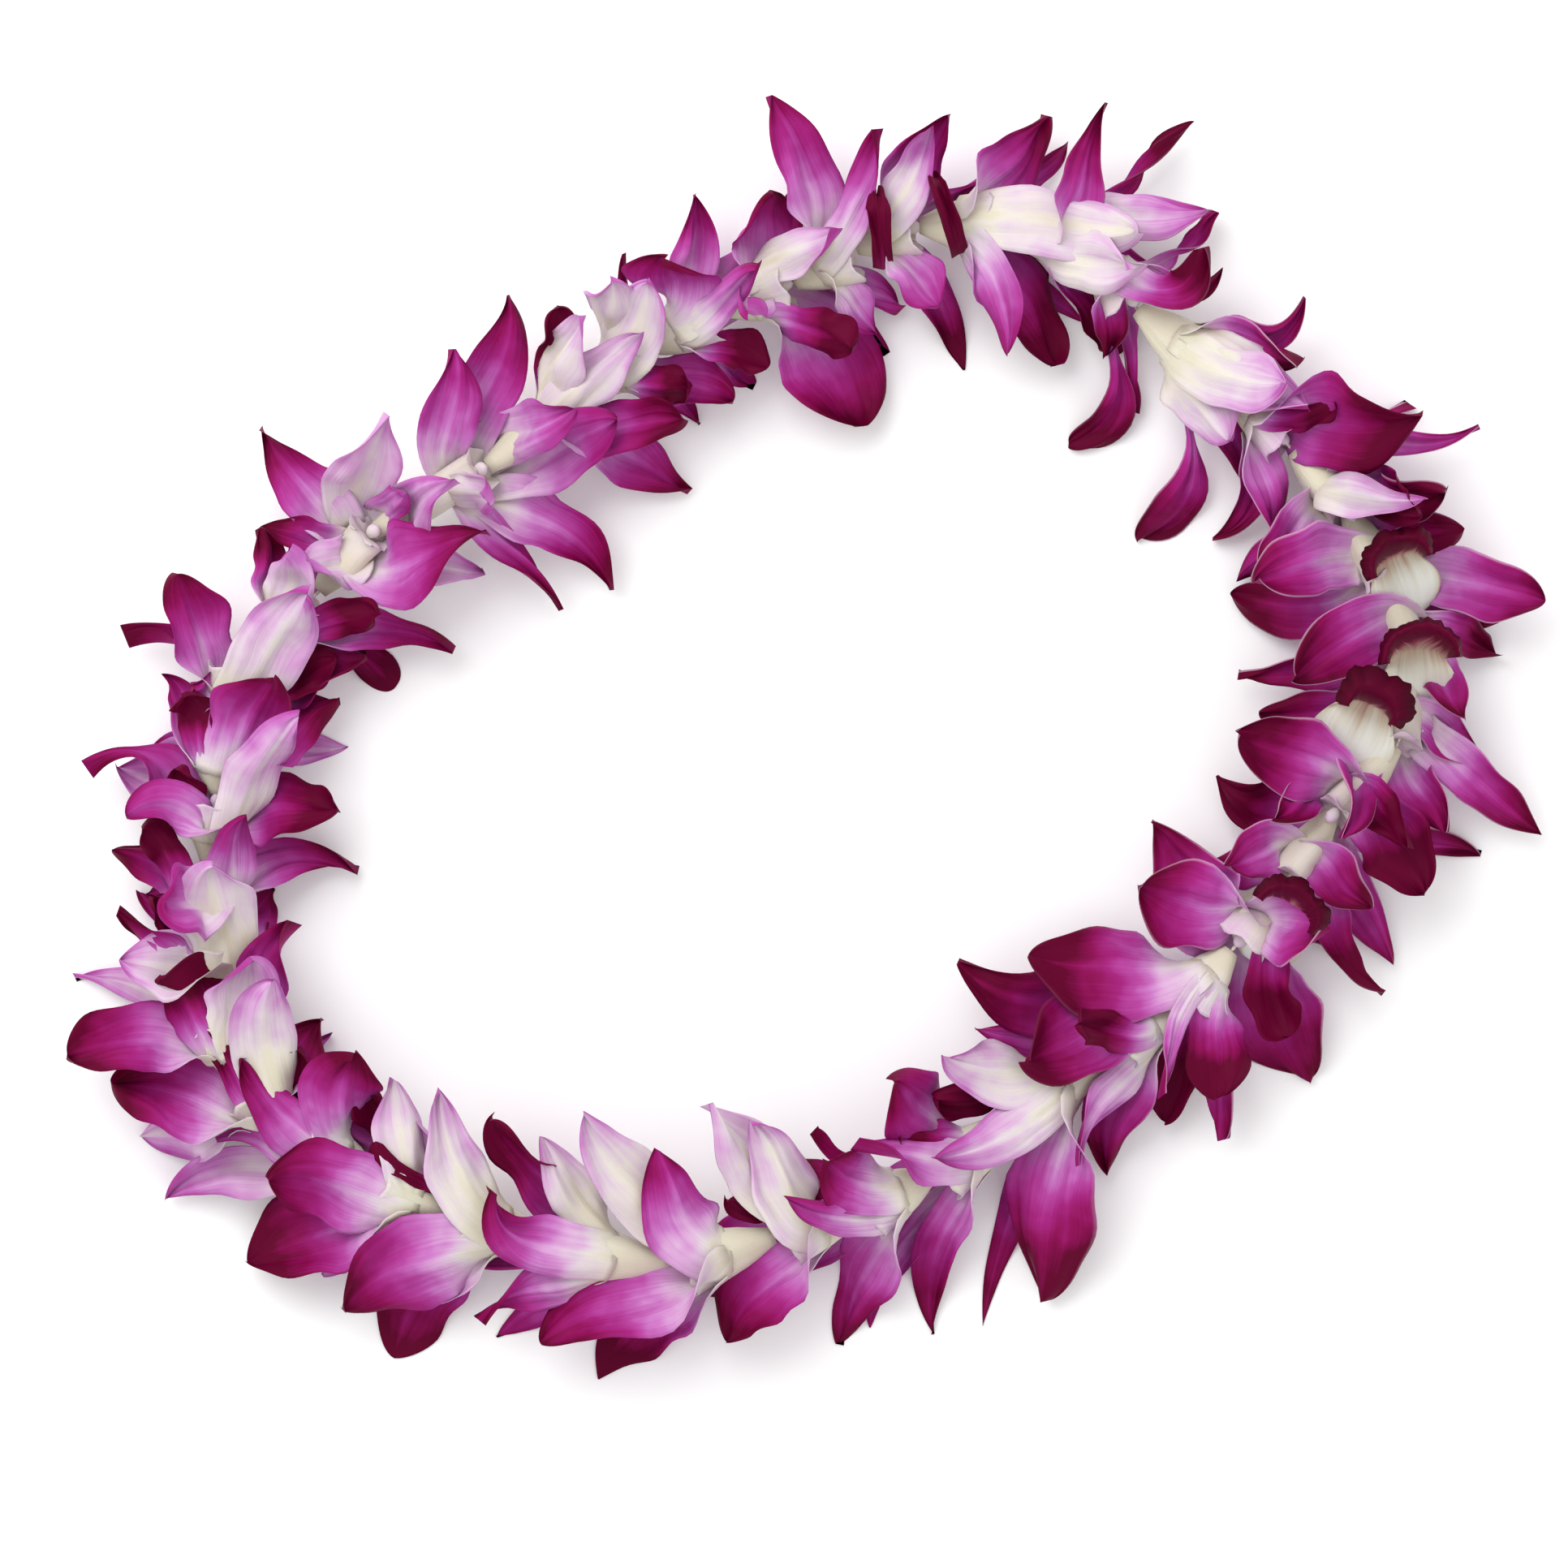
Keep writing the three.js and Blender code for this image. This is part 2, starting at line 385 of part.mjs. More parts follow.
// The closed thread: straight through each base, and on to the next.
function threadSolid(radius) {
  const points = BLOOMS.flatMap((_, index) => {
    const { base, cup } = frameOf(index);
    return [base, cup];
  });
  const corners = [];
  const faces = [];
  points.forEach((point, k) => {
    const before = points[(k + points.length - 1) % points.length];
    const after = points[(k + 1) % points.length];
    const way = after.clone().sub(before).normalize();
    const out = UP.clone().cross(way);
    for (let s = 0; s < THREAD_SIDES; s += 1) {
      const turn = (2 * Math.PI * s) / THREAD_SIDES;
      corners.push(point.clone().addScaledVector(out, radius * Math.cos(turn)).addScaledVector(UP, radius * Math.sin(turn)));
      const next = ((k + 1) % points.length) * THREAD_SIDES;
      const side = (s + 1) % THREAD_SIDES;
      const here = k * THREAD_SIDES;
      faces.push(here + s, here + side, next + side, here + s, next + side, next + s);
    }
  });
  const shape = new THREE.BufferGeometry();
  shape.setAttribute("position", new THREE.Float32BufferAttribute(corners.flatMap((p) => p.toArray()), 3));
  shape.setIndex(faces);
  const knot = new THREE.IcosahedronGeometry(KNOT_RADIUS, 0).translate(...route(KNOT_AFTER - 0.3).toArray());
  return solidOf(shape).add(solidOf(knot));
}

// A solid as a named mesh.
function meshOf(name, solid) {
  const { numProp, vertProperties, triVerts } = solid.getMesh();
  const shape = new THREE.BufferGeometry();
  const corners = [];
  for (let i = 0; i < vertProperties.length; i += numProp) corners.push(...vertProperties.slice(i, i + 3));
  shape.setAttribute("position", new THREE.Float32BufferAttribute(corners, 3));
  shape.setIndex([...triVerts]);
  const mesh = new THREE.Mesh(shape, new THREE.MeshStandardMaterial());
  mesh.name = name;
  return mesh;
}

const lei = new THREE.Group();
garland().forEach((solid, index) => lei.add(meshOf(`bloom_${String(index + 1).padStart(2, "0")}`, solid)));
lei.add(meshOf("thread", threadSolid(THREAD_RADIUS)));

export default lei;
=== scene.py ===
# %% [markdown]
# A fresh flower lei. Dendrobium orchid blooms are strung base into mouth on a cotton thread, and the
# closed loop lies in a slanting oval on a pale surface, seen from straight above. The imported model
# gives the frame: each bloom's plain solid is one node. Here each gets a finely made bloom in the same
# place, built from the same table and the same formulas, so nothing has to be fitted by eye.

# %% Load the frame
import math

import bmesh
import bpy
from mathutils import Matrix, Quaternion, Vector, noise


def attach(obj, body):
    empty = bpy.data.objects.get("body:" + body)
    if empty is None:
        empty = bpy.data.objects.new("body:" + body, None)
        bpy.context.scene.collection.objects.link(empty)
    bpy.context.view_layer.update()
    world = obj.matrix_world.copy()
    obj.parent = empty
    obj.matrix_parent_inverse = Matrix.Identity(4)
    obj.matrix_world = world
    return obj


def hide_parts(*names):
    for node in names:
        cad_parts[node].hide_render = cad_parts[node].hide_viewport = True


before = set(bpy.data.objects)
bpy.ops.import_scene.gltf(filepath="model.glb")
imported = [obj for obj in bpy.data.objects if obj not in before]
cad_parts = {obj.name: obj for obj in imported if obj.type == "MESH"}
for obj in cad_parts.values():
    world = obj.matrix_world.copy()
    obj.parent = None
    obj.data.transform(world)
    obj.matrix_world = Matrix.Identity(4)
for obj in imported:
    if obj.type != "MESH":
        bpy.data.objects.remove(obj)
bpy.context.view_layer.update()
print("nodes in the frame:", len(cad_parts))

# %% [markdown]
# The photograph looks straight down, so a pixel of it is a place on the surface. An orchid lei is about
# a metre round, and its broad petals are about 35 mm long. Both make this one 437 mm across its petals,
# and that one size turns pixels into millimetres. All sizes are in millimetres until a mesh is written,
# because a petal is easier to think of as 25 mm wide than as 0.025 m.

# %% Driving sizes, in millimetres
MM = 0.001
LOOP_LENGTH = 437
LEFT_PIXEL = 82
RIGHT_PIXEL = 1905
MIDDLE_PIXEL = (993.5, 915)
PHOTO_WIDTH = 1932  # pixels
PIXEL = LOOP_LENGTH / (RIGHT_PIXEL - LEFT_PIXEL)  # millimetres
THREAD_HEIGHT = 18
RISE = 1.32  # the tips' heights stand this much taller than stated
PRESS = 5  # and this much lower, so the lowest blades are pressed on the surface
UP = Vector((0, 0, 1))


def mix(a, b, share):
    """The value at a share of the way from a to b."""
    return a + (b - a) * share


def smooth(start, end, x):
    """A soft step: 0 up to the start, 1 from the end on."""
    t = min(1, max(0, (x - start) / (end - start)))
    return t * t * (3 - 2 * t)


def point_at(across, down, height):
    """A pixel of the photograph and a height, as a point of the part."""
    return Vector(((across - MIDDLE_PIXEL[0]) * PIXEL, (MIDDLE_PIXEL[1] - down) * PIXEL, height))


def tip_at(across, down, height):
    """The same for a tip, whose height is given as in the table of blooms."""
    return point_at(across, down, height * RISE - PRESS)


def place_in_scene(name, data):
    """A new object of the scene."""
    made = bpy.data.objects.new(name, data)
    bpy.context.scene.collection.objects.link(made)
    return made


print("a pixel of the photograph is %.3f mm" % PIXEL)

# %% [markdown]
# The camera comes first, so that every later render can be compared with the photograph. A long lens
# far away keeps tall petals from leaning outwards, as they would under a near, wide lens.

# %% Camera
LENS = 150
SENSOR = 36
view_width = PHOTO_WIDTH * PIXEL * MM
distance = view_width * LENS / SENSOR
centre = point_at(PHOTO_WIDTH / 2, PHOTO_WIDTH / 2, THREAD_HEIGHT) * MM

camera = place_in_scene("camera", bpy.data.cameras.new("camera"))
camera.data.lens = LENS
camera.data.sensor_width = SENSOR
camera.location = centre + UP * distance
bpy.context.scene.camera = camera
bpy.context.scene.view_settings.view_transform = "Standard"
print("the camera is %.2f m above the lei" % distance)

# %% [markdown]
# One row of this table is one bloom, clockwise in the order of stringing: the pixel of its mouth, how
# many degrees it faces the sky, and its blades. A blade has a kind, the pixel of its tip, the tip's
# height, its width against its kind's, and a tone: 0.3 is a white sepal with a breath of lilac, 0.9 a
# magenta petal and 1.5 a maroon lip. A last number, where there is one, bends the blade to one side. A
# hood is a lip that arches over its mouth, with the pixel and height of its rim's crown, its size and
# its band's share, and a flap is a lip seen from its edge. Real blooms differ from one another by
# exactly such things, so the variety is written down rather than drawn at random.

# %% The blooms
BLOOMS = [
    ((1250, 1385), 5, [
        ("sepal", 1163, 1298, 34, 1.5, 0.3), ("lip", 1150, 1350, 24, 0.8, 1.5),
        ("sepal", 1150, 1420, 36, 1.1, 0.48), ("petal", 1286, 1608, 9, 1.0, 1.0),
        ("peak", 1213, 1640, 0, 0.42, 0.95), ("sepal", 1160, 1480, 4, 0.8, 0.75)]),
    ((1140, 1452), 5, [
        ("petal", 1098, 1328, 30, 0.9, 0.92), ("lip", 1108, 1388, 26, 0.8, 1.5),
        ("sepal", 1054, 1402, 34, 1, 0.75), ("peak", 1152, 1650, 2, 0.62, 1.0),
        ("sepal", 1073, 1642, 0, 0.8, 0.75), ("sepal", 1046, 1500, 5, 0.8, 0.75)]),
    ((1052, 1492), 5, [
        ("petal", 1020, 1425, 36, 0.7, 0.92), ("lip", 953, 1425, 26, 0.9, 1.5),
        ("tail", 1004, 1389, 24, 0.6, 1.0), ("peak", 1040, 1664, 2, 0.9, 0.95),
        ("sepal", 968, 1470, 36, 0.8, 0.75), ("sepal", 965, 1600, 0, 0.8, 0.75)]),
    ((945, 1525), 5, [
        ("sepal", 870, 1357, 34, 1.6, 0.3), ("sepal", 926, 1379, 34, 1.5, 0.3),
        ("petal", 895, 1655, 16, 1, 1.06), ("sepal", 926, 1602, 3, 0.9, 0.3),
        ("petal", 850, 1590, 0, 0.9, 1.06), ("lip", 893, 1470, 22, 0.8, 1.5)]),
    ((815, 1556), 8, [
        ("peak", 812, 1412, 32, 0.9, 0.95), ("sepal", 722, 1368, 35, 1.6, 0.3),
        ("petal", 668, 1655, 22, 1.1, 0.92), ("sepal", 698, 1637, 9, 1, 0.3),
        ("peak", 735, 1706, 0, 1, 1.2), ("lip", 742, 1440, 26, 0.45, 1.4)]),
    ((672, 1528), 8, [
        ("peak", 614, 1463, 36, 0.7, 0.95, 0.35), ("lip", 608, 1374, 24, 1.05, 1.1),
        ("peak", 592, 1624, 24, 0.6, 0.95), ("sepal", 668, 1398, 26, 1.2, 0.3),
        ("sepal", 610, 1655, 0, 0.9, 0.75), ("sepal", 565, 1560, 6, 0.7, 0.75)]),
    ((553, 1497), 8, [
        ("sepal", 545, 1340, 32, 1.35, 0.3), ("sepal", 500, 1345, 24, 1.25, 0.3),
        ("petal", 424, 1612, 22, 1.15, 1.06), ("sepal", 528, 1607, 12, 1, 0.3),
        ("petal", 482, 1680, 0, 1, 1.06), ("lip", 466, 1404, 26, 0.4, 1.6)]),
    ((455, 1448), 8, [
        ("sepal", 490, 1328, 28, 1.1, 0.3), ("lip", 452, 1345, 20, 0.7, 1.5),
        ("petal", 337, 1450, 30, 1, 1.06), ("petal", 304, 1560, 10, 1.1, 1.06),
        ("sepal", 392, 1577, 2, 1, 0.3), ("sepal", 400, 1330, 14, 0.8, 0.75)]),
    ((365, 1398), 8, [
        ("petal", 442, 1296, 34, 0.85, 1.1), ("petal", 305, 1304, 28, 0.6, 1.1),
        ("lip", 366, 1292, 24, 0.8, 1.5), ("sepal", 200, 1480, 8, 1.15, 0.4),
        ("sepal", 272, 1464, 0, 0.9, 0.3), ("sepal", 268, 1405, 20, 0.6, 0.75)]),
    ((300, 1328), 8, [
        ("petal", 137, 1335, 18, 1.15, 1.06), ("sepal", 168, 1402, 5, 1.8, 0.3),
        ("peak", 396, 1255, 16, 0.75, 1.15), ("sepal", 405, 1275, 6, 0.6, 0.5),
        ("lip", 262, 1270, 26, 0.6, 1.5), ("petal", 344, 1206, 36, 0.75, 0.4, 0.1)]),
    ((262, 1240), 12, [
        ("petal", 89, 1296, 28, 0.92, 1.06), ("peak", 368, 1136, 26, 0.75, 0.92),
        ("lip", 206, 1205, 30, 1.3, 1.5), ("sepal", 84, 1206, 4, 0.7, 0.3),
        ("petal", 318, 1180, 34, 0.9, 0.45, -0.15), ("sepal", 330, 1140, 8, 0.7, 0.75)]),
    ((260, 1148), 12, [
        ("sepal", 149, 1124, 26, 1.0, 1.2), ("sepal", 150, 1182, 24, 1.6, 0.3),
        ("lip", 192, 1104, 24, 0.6, 1.5), ("petal", 270, 1062, 35, 0.85, 0.25, 0.12),
        ("peak", 332, 1095, 1, 0.7, 0.95), ("sepal", 165, 1100, 4, 0.6, 0.75)]),
    ((258, 1058), 15, [
        ("petal", 214, 1108, 38, 0.85, 0.6, 0.1), ("tail", 438, 1073, 7, 1.25, 0.95, 0.3),
        ("sepal", 138, 1048, 18, 0.9, 1.0), ("lip", 178, 1020, 24, 0.7, 1.5),
        ("sepal", 308, 1010, 34, 1, 0.75), ("sepal", 175, 1110, 2, 0.7, 0.75)]),
    ((268, 972), 15, [
        ("tail", 107, 947, 18, 1.5, 0.85, -0.55), ("petal", 164, 1008, 31, 0.6, 0.65, -0.5),
        ("sepal", 376, 882, 36, 1.2, 0.35), ("petal", 418, 995, 24, 0.85, 1.15),
        ("lip", 222, 945, 22, 0.6, 1.5), ("sepal", 140, 944, 10, 1.9, 0.3)]),
    ((276, 892), 12, [
        ("peak", 418, 865, 14, 1, 0.95), ("petal", 345, 835, 34, 0.9, 0.92),
        ("sepal", 424, 920, 2, 0.8, 0.3), ("sepal", 200, 830, 12, 0.7, 0.75),
        ("lip", 232, 862, 30, 0.8, 1.5), ("sepal", 175, 925, 2, 0.8, 0.75)]),
    ((312, 810), 10, [
        ("petal", 222, 708, 24, 0.75, 0.92), ("tail", 152, 785, 14, 0.9, 1.0, -0.45),
        ("petal", 452, 808, 18, 0.9, 0.92), ("sepal", 240, 845, 24, 1, 0.75),
        ("lip", 420, 815, 20, 0.8, 1.5), ("petal", 385, 738, 36, 0.85, 0.35)]),
    ((400, 722), 10, [
        ("sepal", 364, 680, 34, 1.2, 0.35), ("tail", 558, 802, 14, 1.1, 0.9),
        ("spoon", 486, 841, 3, 0.85, 1.1), ("sepal", 322, 650, 20, 0.9, 1.1),
        ("lip", 470, 760, 28, 0.7, 1.5), ("sepal", 372, 640, 10, 0.9, 0.75)]),
    ((470, 648), 55, [
        ("sepal", 482, 515, 32, 1.6, 0.3), ("peak", 323, 529, 22, 0.8, 0.95),
        ("peak", 606, 660, 34, 1, 0.95), ("sepal", 594, 702, 8, 1, 0.3),
        ("sepal", 326, 650, 24, 0.8, 1.15), ("lip", 505, 612, 30, 0.7, 0.5),
        ("sepal", 572, 600, 37, 1.2, 0.35), ("sepal", 378, 702, 30, 1.2, 0.28)]),
    ((612, 568), 60, [
        ("peak", 628, 367, 26, 0.85, 0.95, -0.14), ("sepal", 560, 434, 28, 1.1, 0.75),
        ("tail", 753, 726, 10, 1.5, 1.0, 0.25), ("tail", 688, 752, 12, 0.8, 1.0),
        ("petal", 762, 520, 30, 0.75, 0.6), ("lip", 604, 622, 34, 0.7, 0.32),
        ("petal", 712, 510, 38, 0.65, 0.5)]),
    ((732, 478), 30, [
        ("sepal", 722, 396, 36, 1.4, 0.24), ("lip", 690, 382, 26, 0.9, 1.5),
        ("peak", 848, 604, 6, 0.8, 0.95), ("petal", 845, 520, 28, 0.7, 1.0),
        ("sepal", 785, 420, 34, 1.1, 0.3), ("sepal", 768, 566, 2, 0.8, 0.75)]),
    ((800, 425), 15, [
        ("tail", 770, 314, 22, 0.7, 1.0), ("petal", 904, 494, 18, 0.6, 0.92),
        ("sepal", 756, 356, 36, 1.4, 0.24), ("lip", 850, 480, 24, 0.7, 1.5),
        ("petal", 800, 352, 34, 0.8, 0.26), ("sepal", 860, 520, 3, 0.7, 0.9)]),
    ((895, 378), 10, [
        ("petal", 822, 325, 34, 1.1, 0.92), ("sepal", 855, 239, 16, 0.9, 0.75),
        ("peak", 980, 229, 12, 0.75, 0.9), ("lip", 945, 455, 20, 0.7, 1.5),
        ("sepal", 935, 335, 38, 0.8, 0.75), ("sepal", 930, 470, 3, 0.7, 0.75)]),
    ((985, 345), 12, [
        ("petal", 1062, 523, 10, 1.25, 0.92), ("sepal", 922, 395, 35, 0.9, 0.5),
        ("sepal", 1030, 290, 36, 0.9, 0.45), ("petal", 950, 240, 26, 0.8, 0.92),
        ("lip", 1050, 430, 28, 0.9, 1.5), ("sepal", 1096, 430, 2, 0.8, 0.75)]),
    ((1060, 302), 12, [
        ("peak", 948, 123, 26, 0.85, 0.85), ("sepal", 1077, 166, 30, 0.8, 0.8),
        ("flap", 1079, 244, 26, 0.38, 1.6), ("sepal", 1080, 410, 16, 0.9, 0.6),
        ("sepal", 1112, 378, 8, 0.8, 0.75), ("sepal", 1010, 205, 8, 0.8, 0.75)]),
    ((1140, 277), 12, [
        ("sepal", 1170, 145, 26, 1.2, 0.85), ("sepal", 1142, 168, 34, 1, 0.5),
        ("flap", 1151, 229, 26, 0.34, 1.6), ("petal", 1156, 380, 24, 0.55, 0.65),
        ("sepal", 1188, 452, 2, 0.9, 1.25), ("sepal", 1208, 215, 10, 0.7, 0.75)]),
    ((1245, 284), 5, [
        ("peak", 1292, 142, 16, 0.9, 0.95), ("petal", 1304, 448, 11, 0.9, 1.15),
        ("sepal", 1240, 440, 26, 0.9, 0.75), ("sepal", 1318, 172, 8, 0.6, 0.75),
        ("lip", 1290, 352, 3, 0.7, 1.5), ("sepal", 1338, 392, 0, 0.6, 0.75),
        ("petal", 1398, 292, 31, 0.8, 0.18)]),
    ((1350, 312), 5, [
        ("tail", 1360, 131, 26, 1.15, 0.95), ("sepal", 1488, 262, 24, 1.2, 0.45),
        ("ribbon", 1470, 146, 12, 0.9, 1.2), ("sepal", 1398, 336, 34, 1.2, 0.25),
        ("lip", 1382, 432, 6, 0.8, 1.5), ("sepal", 1440, 330, 3, 0.7, 0.75)]),
    ((1408, 388), 10, [
        ("petal", 1474, 313, 34, 0.45, 1.25, -0.7), ("sepal", 1364, 437, 14, 0.8, 1.1),
        ("sepal", 1506, 330, 18, 0.6, 1.2, -0.5), ("ribbon", 1504, 258, 10, 0.8, 0.9),
        ("spoon", 1320, 540, 4, 0.88, 1.1, 0.4), ("tail", 1402, 505, 6, 0.5, 0.9)]),
    ((1515, 475), 15, [
        ("tail", 1606, 370, 24, 1.2, 0.8, -0.35), ("petal", 1600, 448, 26, 0.55, 0.95),
        ("sepal", 1605, 508, 34, 1.3, 0.35), ("spoon", 1404, 662, 4, 1.15, 0.95, 0.35),
        ("sepal", 1538, 600, 10, 0.9, 0.75), ("sepal", 1640, 500, 8, 0.7, 0.75),
        ("petal", 1508, 545, 26, 0.8, 0.24), ("petal", 1572, 478, 37, 0.75, 0.28)]),
    ((1600, 562), 20, [
        ("peak", 1744, 516, 34, 1.3, 1.3), ("tail", 1498, 663, 6, 1.0, 1.0, 0.25),
        ("sepal", 1562, 690, 14, 1, 0.75), ("tail", 1821, 526, 20, 1.1, 0.7),
        ("lip", 1645, 500, 28, 0.6, 1.5), ("sepal", 1742, 492, 4, 0.7, 0.75)]),
    ((1665, 638), 45, [
        ("petal", 1556, 700, 24, 0.6, 0.8), ("petal", 1775, 605, 30, 0.65, 1.1),
        ("petal", 1802, 655, 20, 0.6, 1.05), ("sepal", 1528, 715, 8, 0.8, 0.75),
        ("lip", 1745, 636, 34, 0.8, 1.5), ("sepal", 1690, 570, 20, 0.7, 0.75),
        ("sepal", 1742, 620, 38, 0.9, 0.42)]),
    ((1712, 728), 60, [
        ("petal", 1542, 718, 27, 0.78, 0.75), ("petal", 1900, 742, 24, 0.72, 0.7),
        ("hood", 1700, 656, 37, 0.96, 2, 0.42), ("petal", 1520, 728, 8, 0.7, 1.1, 0.25),
        ("sepal", 1870, 748, 8, 0.9, 1.0, -0.2), ("sepal", 1790, 690, 14, 0.7, 0.75)]),
    ((1738, 818), 60, [
        ("petal", 1589, 838, 28, 0.72, 0.9, -0.15), ("sepal", 1852, 806, 6, 0.8, 1.2),
        ("hood", 1738, 765, 37, 1, 2, 0.28), ("tail", 1528, 828, 12, 1.3, 0.95, 0.15),
        ("sepal", 1799, 886, 28, 0.9, 0.8), ("sepal", 1586, 896, 4, 0.9, 0.8)]),
    ((1716, 928), 60, [
        ("petal", 1550, 878, 20, 0.6, 1.0), ("peak", 1903, 1029, 12, 0.64, 0.85),
        ("hood", 1700, 829, 40, 1.15, 2, 0.68), ("sepal", 1836, 940, 14, 0.9, 0.75),
        ("sepal", 1778, 1026, 22, 1, 0.8), ("sepal", 1642, 1032, 32, 1.1, 0.75)]),
    ((1635, 1010), 45, [
        ("peak", 1502, 955, 12, 0.95, 1.3, 0.3), ("petal", 1752, 1100, 24, 0.85, 1.4),
        ("sepal", 1728, 1044, 32, 0.9, 1.4), ("sepal", 1832, 1054, 4, 0.8, 0.85),
        ("sepal", 1562, 1010, 30, 0.9, 0.9), ("sepal", 1723, 1188, 6, 1, 0.7),
        ("petal", 1520, 903, 28, 0.85, 1.05, 0)]),
    ((1580, 1092), 45, [
        ("sepal", 1508, 1066, 26, 1.3, 0.75), ("hood", 1606, 1086, 36, 1, 2, 0.42),
        ("tail", 1704, 1226, 16, 0.9, 1.25, -0.2), ("sepal", 1684, 1120, 24, 1.1, 0.95),
        ("sepal", 1480, 1070, 5, 0.8, 1.1), ("sepal", 1650, 1180, 6, 0.9, 1.1)]),
    ((1512, 1178), 10, [
        ("tail", 1418, 1012, 20, 2.2, 0.9), ("petal", 1622, 1332, 5, 1.05, 0.85),
        ("sepal", 1624, 1138, 34, 1.6, 0.7), ("lip", 1590, 1275, 20, 1.0, 1.4),
        ("petal", 1402, 1092, 27, 1.05, 0.85), ("sepal", 1480, 1290, 3, 0.8, 0.75)]),
    ((1448, 1244), 5, [
        ("petal", 1266, 1176, 26, 1.2, 1.15), ("petal", 1500, 1350, 26, 0.8, 1.4),
        ("sepal", 1514, 1405, 12, 1.0, 0.8), ("petal", 1438, 1386, 8, 0.7, 1.45),
        ("sepal", 1427, 1345, 36, 0.42, 0.6), ("sepal", 1340, 1250, 6, 0.8, 0.75)]),
    ((1358, 1295), 5, [
        ("peak", 1180, 1184, 20, 0.95, 1.1), ("petal", 1262, 1304, 33, 0.95, 1.15),
        ("peak", 1368, 1448, 8, 0.95, 0.95), ("sepal", 1202, 1268, 12, 1.1, 0.7),
        ("lip", 1322, 1258, 38, 0.7, 1.5), ("sepal", 1330, 1432, 26, 0.9, 0.6)]),
]
mouths = [point_at(*mouth, THREAD_HEIGHT) for mouth, lift, blades in BLOOMS]
print("blooms on the thread:", len(BLOOMS))

# %% [markdown]
# The thread follows a closed smooth curve through all mouths. Any place along the lei can then be
# named by a count of blooms, and every bloom takes its own axes from that curve.

# %% The curve and a bloom's own axes
BASE_BEHIND = 1.08  # a bloom's base starts this many steps behind its mouth
CUP_BEHIND = 0.45
OPEN_BEHIND = 0.2  # the same for a bloom that looks up, whose blades part at its mouth
OPENS = (0.3, 0.8)  # the tilts, in radians, where a bloom starts to look up and where it fully does
MEASURED = 4  # points of the thread that are measured for each bloom


def route(at):
    """The point of the thread's curve at a count of steps from bloom to bloom."""
    here = math.floor(at)
    t = at - here
    p, q, r, s = (mouths[(here + k) % len(mouths)] for k in (-1, 0, 1, 2))
    point = 0.5 * (2 * q + (r - p) * t + (2 * p - 5 * q + 4 * r - s) * t**2 + (3 * q - p - 3 * r + s) * t**3)
    return Vector((point.x, point.y, THREAD_HEIGHT))


def axes_of(index):
    """Where a bloom's base starts, where its mouth starts to open, and the ways it points."""
    lift = math.radians(BLOOMS[index][1])
    opened = smooth(*OPENS, lift)
    cup = route(index - mix(CUP_BEHIND, OPEN_BEHIND, opened))
    along = (mouths[index] - cup).normalized()
    return {
        "base": route(index - BASE_BEHIND),
        "cup": cup,
        "along": along,
        "out": UP.cross(along).normalized(),
        "face": along * math.cos(lift) + UP * math.sin(lift),
        "top": UP * math.cos(lift) - along * math.sin(lift),
        "opened": opened,
        "hooded": any(blade[0] == "hood" for blade in BLOOMS[index][2]),
    }


line = [route(k / MEASURED) for k in range(MEASURED * len(BLOOMS) + 1)]
print("the thread is %.0f mm round" % sum((b - a).length for a, b in zip(line, line[1:])))

# %% [markdown]
# An orchid has three sepals, two broad petals and a frilled lip. As a shape each is a blade: a midrib
# that leaves the mouth and bends to its tip, and an outline that widens and closes again. A kind's row
# has half its width, the foot's share of that, the place along it where it is widest, and how long it
# stays so, as its point. Sharp makes the tip acute, hollow cups the middle, frill ruffles the margin,
# and twist turns the outer end. A peak is a petal with a pointed tip, a tail and a ribbon are narrow
# and winding, and a spoon has a thin neck, so it widens late.

# %% Kinds of blade
NECK = -0.25  # a blade widens from this share of its length: below 0, it does so from its very foot
KINDS = {
    "sepal": dict(half=7.2, foot=0.8, widest=0.5, point=1.5, sharp=0.8, hollow=0.03, frill=0.3, twist=0.5),
    "tail": dict(half=7.0, foot=0.6, widest=0.35, point=1.2, sharp=1.05, hollow=0.05, frill=0.5, twist=0.9),
    "ribbon": dict(half=3.8, foot=0.5, widest=0.66, point=2.0, sharp=0.7, hollow=0.05, frill=0.5, twist=3.4),
    "spoon": dict(half=7.6, foot=0.22, widest=0.82, point=2.6, sharp=0.55, hollow=0.03, frill=0.5, twist=0.5,
                  neck=0.4),
    "petal": dict(half=13.0, foot=0.52, widest=0.56, point=1.9, sharp=0.62, hollow=0.012, frill=0.35,
                  twist=0.3),
    "peak": dict(half=12.4, foot=0.52, widest=0.46, point=1.5, sharp=0.95, hollow=0.014, frill=0.35,
                 twist=0.4),
    "lip": dict(half=8.0, foot=0.5, widest=0.72, point=3.2, sharp=0.5, hollow=0.06, frill=1.6, twist=0.2),
}
PHASE_STEP = 2.4  # a blade's phase makes its waves its own, and the next blade's is this much further
WHORL = 0.4  # every other blade stands this much further out at its foot
BOW = 0.1  # the most that a blade bends to one side of its own accord, against its length


